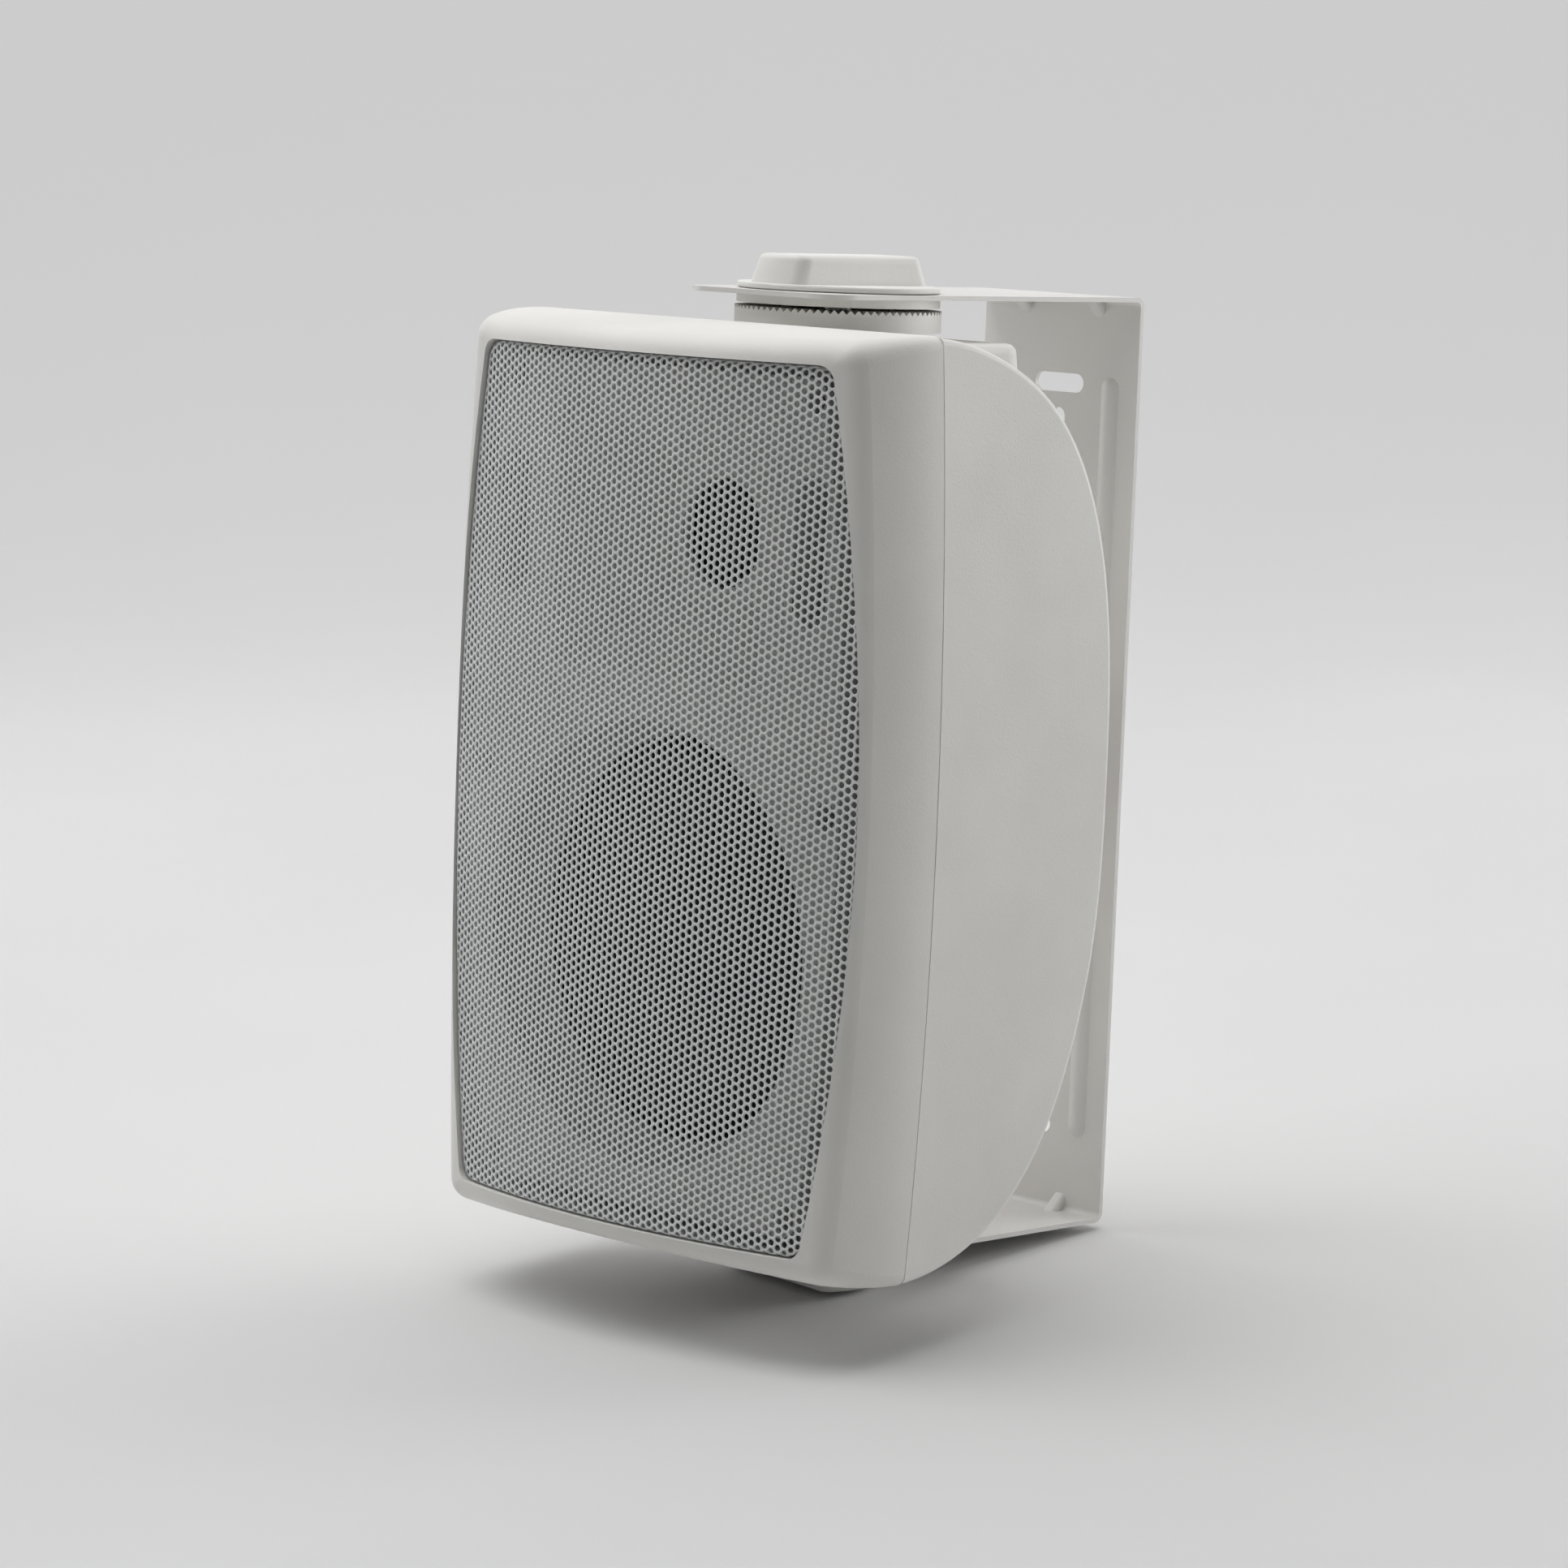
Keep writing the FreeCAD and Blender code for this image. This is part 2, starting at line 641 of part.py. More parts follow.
def make_rear_shell():
    d_outer = shell_d(0)
    rim = [e for e in d_outer.Edges if e.BoundBox.YMax > shell_start + 0.01 and e.BoundBox.XLength < half_width]
    d_outer = d_outer.makeFillet(shell_edge_round, rim)
    shell = joined(d_outer, [spine_block(0, shell_start)])
    recess = block(-recess_width / 2, recess_width / 2, shell_start - over, spine_middle, platform, half_height)
    shell = shell.cut([recess, upside_down(recess)])

    flange_back = shell_start + flange_thickness
    under = recess_width / 2 + wall
    roof = block(-under, under, shell_start - over, spine_middle, platform - wall, half_height)
    behind_flange = block(-half_width, half_width, flange_back, spine_middle, -half_height, half_height)
    hollow = shell_d(wall).common(behind_flange).cut([roof, upside_down(roof)])
    spine_hollow = spine_block(wall, flange_back)
    doorway = barrel(half_width - flange_width, half_height - flange_width, side_bulge,
                     shell_start - over, flange_back + over, inner_corner)
    shell = shell.cut([hollow, spine_hollow, doorway])

    added = []
    boss_top = platform - spigot_drop
    for flip in (False, True):
        boss = rod(PIVOT, Z, pivot_boss_radius, boss_top - pivot_boss_length, boss_top)
        pad = rod(PIVOT, Z, spigot_radius + wall, boss_top - wall, boss_top)
        web = block(-rib_thickness / 2, rib_thickness / 2, pivot_depth - spigot_radius, pivot_depth + spigot_radius,
                    boss_top - pivot_boss_length, boss_top)
        added += [upside_down(piece) if flip else piece for piece in (boss, pad, web)]
    for x, z in cabinet_screw_places:
        added.append(rod(Vector(x, 0, z), Y, boss_radius, shell_start, shell_start + shell_boss_length))
    for sign in (-1, 1):
        edge = half_width - shell_step - side_draft - wall / 2
        inner = cabinet_screw_middle
        added.append(block(min(sign * inner, sign * edge), max(sign * inner, sign * edge), shell_start,
                           shell_start + shell_boss_length, -rib_thickness / 2, rib_thickness / 2))
    for x, z in board_post_places:
        wall_place = spine_middle - spine_radius + math.sqrt(spine_radius ** 2 - z ** 2) - wall / 2
        added.append(rod(Vector(x, 0, z), Y, board_post_radius, board_face + board_thickness, wall_place))
    for x, z in cup_screw_places:
        added.append(rod(Vector(x, 0, z), Y, post_radius, cup_seat - cup_screw_length - over, cup_seat))
    shell = joined(shell, added)

    cuts = []
    pocket = rod(PIVOT, Z, spigot_radius + fit, boss_top, platform + over)
    keyed = block(-spigot_radius - over, spigot_radius + over, pivot_depth - spigot_flat - fit,
                  pivot_depth + spigot_flat + fit, boss_top, platform + over)
    insert_bore = rod(PIVOT, Z, insert_radius + shaft_clearance, boss_top - insert_floor - insert_length, platform)
    stud_bore = rod(PIVOT, Z, ring_bore, boss_top - pivot_boss_length - over, platform)
    for piece in (pocket.common(keyed), insert_bore, stud_bore):
        cuts += [piece, upside_down(piece)]
    for x, z in cabinet_screw_places:
        cuts.append(rod(Vector(x, 0, z), Y, screw_shank_radius + thread_clearance, shell_start - over,
                        shell_start + shell_boss_length - over))
    pilot = small_shank_radius + thread_clearance
    for x, z in board_post_places:
        cuts.append(rod(Vector(x, 0, z), Y, pilot, board_face, board_face + board_thickness + board_screw_length))
    for x, z in cup_screw_places:
        cuts.append(rod(Vector(x, 0, z), Y, pilot, cup_seat - cup_screw_length, cup_seat + over))
    half_cup = (cup_width / 2 + fit, cup_height / 2 + fit)
    cuts.append(block(-half_cup[0], half_cup[0], cup_floor - cup_wall - over, spine_middle + over,
                      -half_cup[1], half_cup[1]))
    seat = (cup_width / 2 + cup_flange + fit, cup_height / 2 + cup_flange + fit)
    cuts.append(block(-seat[0], seat[0], cup_seat, spine_middle + over, -seat[1], seat[1]))
    save("rear_shell", shell.cut(cuts))


def make_gasket():
    top = platform - gasket_inset
    edge = half_width - shell_step - gasket_inset
    outer = barrel(edge, top, side_bulge, frame_end, shell_start, inner_corner)
    inner = barrel(edge - gasket_width, top - gasket_width, side_bulge, frame_end - over, shell_start + over,
                   inner_corner)
    save("cabinet_gasket", outer.cut(inner))


def make_cabinet_screws():
    head = shell_start - counterbore_floor
    length = counterbore_floor + shell_boss_length - 2 * over
    save("cabinet_screws", *[screw(Vector(x, head, z), Y, screw_head_radius, screw_head_height, screw_shank_radius,
                                   length) for x, z in cabinet_screw_places])


# Woofer, from front to back

def make_woofer():
    axis = woofer_axis
    gasket_back = woofer_seat + woofer_gasket_thickness
    screw_holes = [rod(Vector(x, 0, z), Y, small_shank_radius + thread_clearance, woofer_seat - over,
                       gasket_back + basket_sheet + over) for x, z in woofer_screw_places]
    save("woofer_gasket", tube(axis, Y, woofer_rim, flare_throat, woofer_seat, gasket_back).cut(screw_holes))

    roll_edge = flare_throat - over
    roll_inner = cone_edge_radius
    ledge = roll_edge - cone_land
    front = gasket_back - roll_film
    middle = (roll_inner + ledge) / 2
    rise = (ledge - roll_inner) / 2
    save("woofer_surround", turned(axis, Y, (roll_inner - cone_land, front), (roll_inner, front),
                                   ((middle, front - rise), (ledge, front)), (roll_edge, front),
                                   (roll_edge, gasket_back), (ledge - roll_film, gasket_back),
                                   ((middle, gasket_back - rise), (roll_inner + roll_film, gasket_back)),
                                   (roll_inner - cone_land, gasket_back)))

    rear = gasket_back + basket_depth
    lip = gasket_back + basket_sheet
    rim_inner = ledge - roll_film + fit
    shelf = rear - basket_sheet - spider_stand
    basket = turned(axis, Y, (rim_inner, gasket_back), (woofer_rim, gasket_back), (woofer_rim, lip),
                    (rim_inner + basket_sheet, lip), (basket_back_radius + basket_sheet, rear),
                    (magnet_bore, rear), (magnet_bore, rear - basket_sheet),
                    (spider_radius - cone_land, rear - basket_sheet), (spider_radius - cone_land, shelf),
                    (spider_radius, shelf), (spider_radius, rear - basket_sheet),
                    (basket_back_radius, rear - basket_sheet), (rim_inner, lip))
    cuts = list(screw_holes)
    for k in range(basket_windows):
        window = round_block(-basket_window_width / 2, basket_window_width / 2, lip + basket_sheet, rear - 2 * basket_sheet,
                             basket_back_radius - wall, woofer_rim, Z, cup_corner)
        window.translate(axis)
        window.rotate(axis, Y, 360.0 * k / basket_windows)
        cuts.append(window)
    save("woofer_basket", basket.cut(cuts))

    neck = gasket_back + cone_depth
    former_outer = coil_radius + coil_former
    glue = former_outer + shaft_clearance
    land = roll_inner - cone_land
    bow = ((glue + land) / 2, (gasket_back + neck) / 2 - 2 * cone_paper)
    save("woofer_cone", turned(axis, Y, (glue, neck), (bow, (land, gasket_back)), (roll_inner, gasket_back),
                               (roll_inner, gasket_back + cone_paper), (land, gasket_back + cone_paper),
                               ((bow[0], bow[1] + cone_paper), (glue, neck + cone_paper))))

    # The cap's rim stands on the cone's front, on the arc through the neck, the bow and the land.
    cone_arc = Part.Arc(section(glue, neck), section(*bow), section(land, gasket_back)).toShape()
    ruler = Part.LineSegment(section(cap_radius, gasket_back), section(cap_radius, neck)).toShape()
    cap_foot = cone_arc.distToShape(ruler)[1][0][0].z
    cap_inner, inner_rise = cap_radius - cone_paper, cap_rise - cone_paper
    save("woofer_dust_cap", turned(axis, Y, (0, cap_foot - cap_rise),
                                   (cap_arc(cap_radius, cap_rise, cap_foot), (cap_radius, cap_foot)),
                                   (cap_inner, cap_foot),
                                   (cap_arc(cap_inner, inner_rise, cap_foot), (0, cap_foot - inner_rise))))

    gap_middle = rear + gap_plate_thickness / 2
    coil_start, coil_end = gap_middle - coil_length / 2, gap_middle + coil_length / 2
    save("woofer_voice_coil", turned(axis, Y, (coil_radius, neck - cone_paper), (former_outer, neck - cone_paper),
                                     (former_outer, coil_start), (former_outer + coil_winding, coil_start),
                                     (former_outer + coil_winding, coil_end), (coil_radius, coil_end)))

    # The spider's cloth is pleated in equal steps from the coil to its shelf.
    wave_start = former_outer + cone_paper
    wave_end = spider_radius - cone_land
    step = (wave_end - wave_start) / (4 * spider_waves)
    level = shelf - spider_cloth
    ridges = [(wave_start + k * step, (0, -1, 0, 1)[k % 4] * spider_wave_height) for k in range(4 * spider_waves + 1)]
    front_steps = [(r, level + lift) for r, lift in ridges if lift or r in (wave_start, ridges[-1][0])]
    back_steps = [(r, lift + shelf) for r, lift in reversed(ridges) if lift or r in (wave_start, ridges[-1][0])]
    save("woofer_spider", turned(axis, Y, (glue, level), *front_steps, (spider_radius, level),
                                 (spider_radius, shelf), *back_steps, (glue, shelf)))

    bore = former_outer + coil_winding + coil_clearance
    magnet_front = rear + gap_plate_thickness
    magnet_back = magnet_front + magnet_thickness
    pole = coil_radius - coil_clearance
    save("woofer_top_plate", tube(axis, Y, gap_plate_radius, bore, rear, magnet_front))
    save("woofer_magnet", tube(axis, Y, magnet_radius, magnet_bore, magnet_front, magnet_back))
    save("woofer_yoke", turned(axis, Y, (0, rear), (pole, rear), (pole, magnet_back), (gap_plate_radius, magnet_back),
                               (gap_plate_radius, magnet_back + yoke_thickness), (0, magnet_back + yoke_thickness)))
    length = woofer_screw_length - over
    save("woofer_screws", *[screw(Vector(x, lip, z), -Y, small_head_radius, small_head_height, small_shank_radius,
                                  length) for x, z in woofer_screw_places])


# Tweeter behind the horn's throat, from front to back

def make_tweeter():
    axis = tweeter_axis
    half = tweeter_size / 2
    plate_back = throat_face + tweeter_plate_thickness
    plate = round_block(-half, half, throat_face, plate_back, tweeter_height - half, tweeter_height + half, Y, cup_corner)
    holes = [rod(Vector(x, 0, z), Y, small_shank_radius + thread_clearance, throat_face - over, plate_back + over)
             for x, z in tweeter_screw_places]
    save("tweeter_plate", plate.cut(holes + [rod(axis, Y, tweeter_plate_hole, throat_face - over, plate_back + over)]))

    film_back = plate_back + dome_film
    inner = dome_radius - dome_film
    save("tweeter_dome", turned(axis, Y, (0, plate_back - dome_rise),
                                (cap_arc(dome_radius, dome_rise, plate_back), (dome_radius, plate_back)),
                                (throat_radius + cone_land, plate_back), (throat_radius + cone_land, film_back),
                                (inner, film_back), (cap_arc(inner, dome_rise, film_back), (0, film_back - dome_rise))))

    magnet_front = film_back + tweeter_gap_plate
    magnet_back = magnet_front + tweeter_magnet_thickness
    bore = dome_radius + coil_former + coil_clearance
    pole = dome_radius - coil_former - coil_clearance
    save("tweeter_voice_coil", tube(axis, Y, dome_radius + coil_former / 2, dome_radius - coil_former / 2, film_back,
                                    magnet_front))
    save("tweeter_top_plate", tube(axis, Y, tweeter_magnet_radius - over, bore, film_back, magnet_front))
    save("tweeter_magnet", tube(axis, Y, tweeter_magnet_radius, throat_radius, magnet_front, magnet_back))
    yoke_back = magnet_back + tweeter_yoke_thickness
    save("tweeter_yoke", turned(axis, Y, (0, film_back), (pole, film_back), (pole, magnet_back),
                                (tweeter_magnet_radius - over, magnet_back), (tweeter_magnet_radius - over, yoke_back),
                                (0, yoke_back)))
    length = tweeter_plate_thickness + tweeter_screw_length - 2 * over
    save("tweeter_screws", *[screw(Vector(x, plate_back, z), -Y, small_head_radius, small_head_height,
                                   small_shank_radius, length) for x, z in tweeter_screw_places])


# Toothed pivots

def grooves(radius, level, drop):
    """Radial V grooves that converge on the axis, as in a face coupling; the drop is at the given radius."""
    half_angle = math.pi / tooth_count * (1 - tooth_crest_share)
    far = radius + over
    reach = far / radius
    apex = PIVOT + Z * level
    left = apex + Vector(far * math.cos(half_angle), far * math.sin(half_angle), 0)
    right = apex + Vector(far * math.cos(half_angle), -far * math.sin(half_angle), 0)
    root = apex + Vector(far, 0, -drop * reach)
    triangles = [(apex, left, right), (apex, root, left), (apex, right, root), (left, root, right)]
    faces = [Part.Face(Part.makePolygon([a, b, c, a])) for a, b, c in triangles]
    wedge = Part.makeSolid(Part.makeShell(faces))
    cuts = []
    for k in range(tooth_count):
        copy = wedge.copy()
        copy.rotate(PIVOT, Z, 360.0 * k / tooth_count)
        cuts.append(copy)
    return Part.makeCompound(cuts)


def lower(shape):
    """Mirror image, at the lower leg, of a shape at the upper one: the cabinet sinks until its lower ring is seated."""
    return moved(upside_down(shape), 0, 0, lower_rise)


def pivot_ring(base):
    """Toothed ring with its underside at this level and a keyed spigot down into the shell."""
    top = base + ring_thickness
    well = top - ring_well_drop
    ring = turned(PIVOT, Z, (ring_bore, base), (ring_radius, base), (ring_radius, top),
                  (ring_well_radius, top), (ring_well_radius, well), (ring_bore, well))
    spigot = tube(PIVOT, Z, spigot_radius, ring_bore, platform - spigot_drop, base)
    keyed = block(-spigot_radius, spigot_radius, pivot_depth - spigot_flat, pivot_depth + spigot_flat,
                  platform - spigot_drop, base)
    return joined(ring, [spigot.common(keyed)]).cut(grooves(ring_radius, top, tooth_drop))


def make_pivots():
    skirt = washer_radius - washer_skirt
    washer = tube(PIVOT, Z, washer_radius, ring_bore, washer_base, leg_under)
    teeth = grooves(skirt, -washer_base, washer_tooth_drop)
    inside = rod(PIVOT, Z, skirt, washer_base - over, leg_under - fit)
    washer = washer.cut(upside_down(teeth).common(inside))
    washer = washer.cut(rod(PIVOT, Z, ring_well_radius, washer_base - over, washer_base + washer_well_drop))
    pins = [rod(PIVOT + X * (sign * washer_pin_offset), Z, washer_pin_radius, leg_under - over, leg_top - fit)
            for sign in (-1, 1)]
    washer = joined(washer, pins)

    boss_top = platform - spigot_drop
    insert = tube(PIVOT, Z, insert_radius, stud_radius + shaft_clearance, boss_top - insert_length, boss_top)
    save("top_pivot_ring", pivot_ring(ring_base))
    save("bottom_pivot_ring", upside_down(pivot_ring(platform)))
    save("top_pivot_washer", washer)
    save("bottom_pivot_washer", lower(washer))
    save("threaded_inserts", insert, upside_down(insert))


# Hand knobs

def grip_outline(half, end_radius, level):
    """Outline of the grip at one level: two straight sides and two round ends about the pivot."""
    end = math.sqrt(end_radius ** 2 - half ** 2)
    outline = face_of(plan, (half, -end), (half, end), ((0, end_radius), (-half, end)), (-half, -end),
                      ((0, -end_radius), (half, -end)))
    return moved(outline.OuterWire, 0, pivot_depth, level)


def make_knobs():
    grip_base = knob_base + knob_flange
    grip_top = grip_base + grip_height
    head_base = grip_top - stud_cover - stud_head_height
    corner = stud_head_flats / math.sqrt(3)
    hexagon = [PIVOT + Vector(corner * math.cos(math.radians(60 * k)), corner * math.sin(math.radians(60 * k)), head_base)
               for k in range(7)]
    head = Part.Face(Part.makePolygon(hexagon)).extrude(Z * stud_head_height)
    stud_end = platform - spigot_drop - stud_reach
    stud, short_stud = [joined(head, [rod(PIVOT, Z, stud_radius, end, head_base)])
                        for end in (stud_end, stud_end + lower_rise)]

    flange = rod(PIVOT, Z, knob_radius, knob_base, grip_base)
    rims = [e for e in flange.Edges if e.Curve.TypeId == "Part::GeomCircle"]
    flange = flange.makeFillet(knob_flange_round, rims)
    rings = [grip_outline(grip_base_width / 2, grip_base_radius, grip_base - knob_flange / 2),
             grip_outline(grip_top_width / 2, grip_top_radius, grip_top)]
    grip = Part.makeLoft(rings, True, True)
    grip = grip.makeFillet(grip_corner, [e for e in grip.Edges if e.BoundBox.ZLength > grip_height])
    grip = grip.makeFillet(grip_round, [e for e in grip.Edges if e.BoundBox.ZMin > grip_top - 0.01])
    knob = joined(flange, [grip]).cut(stud)
    lower_knob, lower_stud = lower(knob), lower(short_stud)
    for shape in (lower_knob, lower_stud):
        shape.rotate(PIVOT, Z, bottom_knob_angle)
    save("top_knob", knob)
    save("bottom_knob", lower_knob)
    save("top_knob_stud", stud)
    save("bottom_knob_stud", lower_stud)


# Folded bracket

def make_bracket():
    bend = bend_radius + sheet
    leg_front = pivot_depth - leg_overhang
    diagonal = math.sqrt(0.5)

    def bent(y, z, radius, sign):
        """Arc step round a fold whose corner is at (y, z)."""
        centre = (y - radius, z - sign * radius)
        return (centre[0] + radius * diagonal, centre[1] + sign * radius * diagonal)

    lower_top, lower_under = leg_top - lower_rise, leg_under - lower_rise
    outline = face_of(side, (leg_front, leg_top), (front_reach - bend, leg_top),
                      (bent(front_reach, leg_top, bend, 1), (front_reach, leg_top - bend)),
                      (front_reach, bend - lower_top),
                      (bent(front_reach, -lower_top, bend, -1), (front_reach - bend, -lower_top)),
                      (leg_front, -lower_top), (leg_front, -lower_under), (plate_front - bend_radius, -lower_under),
                      (bent(plate_front, -lower_under, bend_radius, -1), (plate_front, bend_radius - lower_under)),
                      (plate_front, leg_under - bend_radius),
                      (bent(plate_front, leg_under, bend_radius, 1), (plate_front - bend_radius, leg_under)),
                      (leg_front, leg_under))
    bracket = moved(outline.extrude(X * bracket_width), -bracket_width / 2, 0, 0)
    bracket = bracket.makeFillet(leg_corner, [e for e in edges_along(bracket, Z) if e.BoundBox.YMax < leg_front + 0.01])

    bead_depth = plate_front + bead_radius - bead_rise
    bead_top = leg_under - bead_below_leg - bead_radius
    bead_foot = lower_rise - bead_top
    ahead = block(-bracket_width, bracket_width, leg_front, front_reach - sheet / 2, -lower_under, leg_under)
    ridges, furrows = [], []
    for sign in (-1, 1):
        for radius, pieces in ((bead_radius, ridges), (bead_radius - sheet, furrows)):
            centre = Vector(sign * bead_offset, bead_depth, 0)
            bar = rod(centre, Z, radius, bead_foot, bead_top)
            ends = [Part.makeSphere(radius, centre + Z * run) for run in (bead_foot, bead_top)]
            pieces.append(joined(bar, ends))
    ridges = [ridge.common(ahead) for ridge in ridges]

    gussets, dents = [], []
    dent_leg = gusset_leg + sheet * (2 - math.sqrt(2))
    for sign in (-1, 1):
        rib = face_of(side, (plate_front + sheet / 2, leg_under + sheet / 2), (plate_front - gusset_leg, leg_under + sheet / 2),
                      (plate_front - gusset_leg, leg_under), (plate_front, leg_under - gusset_leg),
                      (plate_front + sheet / 2, leg_under - gusset_leg)).extrude(X * gusset_width)
        slope_edges = [e for e in rib.Edges if min(e.BoundBox.YLength, e.BoundBox.ZLength) > gusset_leg - 0.01]
        rib = moved(rib.makeFillet(gusset_round, slope_edges), sign * gusset_offset - gusset_width / 2, 0, 0)
        dent = face_of(side, (front_reach + over, leg_top + over), (front_reach - dent_leg - over, leg_top + over),
                       (front_reach + over, leg_top - dent_leg - over)).extrude(X * gusset_dent_width)
        dent = moved(dent, sign * gusset_offset - gusset_dent_width / 2, 0, 0)
        gussets += [rib, lower(rib)]
        dents += [dent, lower(dent)]
    bracket = joined(bracket, ridges + gussets)

    cross_slot = slot(slot_width, cross_slot_length, X, plate_front - over, front_reach + over)
    long_slot = slot(slot_width, long_slot_length, Z, plate_front - over, front_reach + over)
    holes = [moved(cross_slot, 0, 0, leg_under - cross_slot_below_leg),
             moved(long_slot, 0, 0, leg_under - long_slot_below_leg - long_slot_length / 2),
             rod(PIVOT, Z, ring_bore, leg_under - over, leg_top + over)]
    holes += [rod(PIVOT + X * (sign * washer_pin_offset), Z, washer_pin_radius + fit, leg_under - over, leg_top + over)
              for sign in (-1, 1)]
    save("wall_bracket", bracket.cut(furrows + dents + holes + [lower(hole) for hole in holes]))


# Terminal cup with two sprung levers

def make_terminals():
    half_w, half_h = cup_width / 2, cup_height / 2
    flange_back = cup_seat + cup_flange_thickness
    cup = round_block(-half_w, half_w, cup_floor - cup_wall, cup_seat, -half_h, half_h, Y, cup_corner - cup_wall + over)
    flange = round_block(-half_w - cup_flange, half_w + cup_flange, cup_seat, flange_back, -half_h - cup_flange,
                         half_h + cup_flange, Y, cup_corner)
    hollow = round_block(cup_wall - half_w, half_w - cup_wall, cup_floor, flange_back + over, cup_wall - half_h,
                         half_h - cup_wall, Y, over)
    cup = joined(cup, [flange]).cut(hollow)
    added, cuts = [], []
    reach = lever_width / 2 + lever_side_gap
    block_top = lever_pin_height - wire_block_gap
    for sign in (-1, 1):
        centre = sign * lever_offset
        for edge in (centre - reach - ear_thickness, centre + reach):
            added.append(block(edge, edge + ear_thickness, cup_floor, lever_axis_depth + lever_tail,
                               lever_pin_height - ear_height / 2, lever_pin_height + ear_height / 2))
        added.append(block(centre - reach, centre + reach, cup_floor, lever_axis_depth, block_top - wire_block_height,
                           block_top))
        hole_height = block_top - wire_block_height / 2
        cuts.append(rod(Vector(centre, 0, hole_height), Y, wire_hole_radius, cup_floor, flange_back))
    pin_reach = lever_offset + reach + ear_thickness
    cuts.append(rod(Vector(0, lever_axis_depth, lever_pin_height), X, lever_pin_radius + shaft_clearance,
                    -pin_reach, pin_reach))
    pilot = small_shank_radius + thread_clearance
    for x, z in cup_screw_places:
        cuts.append(rod(Vector(x, 0, z), Y, pilot, cup_seat - over, flange_back + over))
    save("terminal_cup", joined(cup, added).cut(cuts))

    for sign, name in ((1, "positive_lever"), (-1, "negative_lever")):
        centre = sign * lever_offset
        front, back = lever_axis_depth - lever_thickness / 2, lever_axis_depth + lever_thickness / 2
        tab = block(centre - lever_width / 2, centre + lever_width / 2, front, back, lever_pin_height - lever_tail,
                    lever_pin_height + lever_rise)
        tab = tab.makeFillet(over, edges_along(tab, X))
        grip = [rod(Vector(centre, back, lever_pin_height + lever_rise - lever_thickness * k), X, lever_ridge / 2,
                    1 - lever_width / 2, lever_width / 2 - 1) for k in (1, 2, 3)]
        pin = rod(Vector(centre, lever_axis_depth, lever_pin_height), X, lever_pin_radius,
                  -reach - ear_thickness + fit, reach + ear_thickness - fit)
        save(name, joined(tab, grip + [pin]))

    tags = []
    for sign in (-1, 1):
        centre = sign * lever_offset
        tag_back = cup_floor - cup_wall
        middle = block_top - wire_block_height / 2
        base = block(centre - contact_width / 2, centre + contact_width / 2, tag_back - contact_strip, tag_back,
                     middle - contact_base / 2, middle + contact_base / 2)
        tail = block(centre - contact_width / 2, centre + contact_width / 2, tag_back - contact_tail, tag_back,
                     middle - contact_base / 2, middle - contact_base / 2 + contact_strip)
        eye = rod(Vector(centre, tag_back - contact_tail + contact_width / 2, 0), Z, contact_strip, middle - contact_base,
                  middle)
        tags.append(joined(base, [tail]).cut(eye))
    save("terminal_contacts", *tags)
    length = cup_flange_thickness + cup_screw_length - over
    save("terminal_screws", *[screw(Vector(x, flange_back, z), -Y, small_head_radius, small_head_height,
                                    small_shank_radius, length) for x, z in cup_screw_places])


# Crossover

def make_crossover():
    half_w, half_h = board_width / 2, board_height / 2
    low, high = board_centre_height - half_h, board_centre_height + half_h
    board = block(-half_w, half_w, board_face, board_face + board_thickness, low, high)
    holes = [rod(Vector(x, 0, z), Y, small_shank_radius + thread_clearance, board_face - over,
                 board_face + board_thickness + over) for x, z in board_post_places]
    save("crossover_board", board.cut(holes))
    save("board_screws", *[screw(Vector(x, board_face, z), Y, small_head_radius, small_head_height, small_shank_radius,
                                 board_screw_length) for x, z in board_post_places])

    can = Vector(-capacitor_length / 2, board_face - capacitor_radius, board_centre_height - component_rise)
    save("crossover_capacitor", turned(can, X, (0, 0), (capacitor_radius - capacitor_rim, 0), (capacitor_radius, capacitor_rim),
                                       (capacitor_radius, capacitor_length - capacitor_rim),
                                       (capacitor_radius - capacitor_rim, capacitor_length), (0, capacitor_length)))
    middle = board_width / 4
    choke = Vector(choke_offset, board_face, board_centre_height + component_rise - choke_flange)
    save("crossover_coil", turned(choke, -Y, (choke_bore, 0), (choke_radius, 0), (choke_radius, choke_flange),
                                  (choke_radius - choke_flange, choke_flange),
                                  (choke_radius - choke_flange, choke_width - choke_flange),
                                  (choke_radius, choke_width - choke_flange), (choke_radius, choke_width),
                                  (choke_bore, choke_width)))
    save("crossover_resistor", round_block(-middle - resistor_length / 2, resistor_length / 2 - middle,
                                           board_face - resistor_height, board_face,
                                           board_centre_height + component_rise - resistor_height / 2,
                                           board_centre_height + component_rise + resistor_height / 2, X, over))


os.makedirs("parts", exist_ok=True)
make_bracket()
make_knobs()
make_pivots()
make_front_frame()
make_grille()
make_rear_shell()
make_gasket()
make_cabinet_screws()
make_woofer()
make_tweeter()
make_terminals()
make_crossover()
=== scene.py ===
# %% [markdown]
# # A white wall speaker on its steel bracket
# The imported solids come in as a fixed frame, in metres. This lesson gives every solid the finish of the
# real material, punches the grille's holes as real geometry, cuts the woofer's soft rings into sectors, and
# sets a camera and soft lights as in a photo tent.

# %% Load the frame
import json
import math

import bpy
import numpy as np
from mathutils import Matrix, Vector


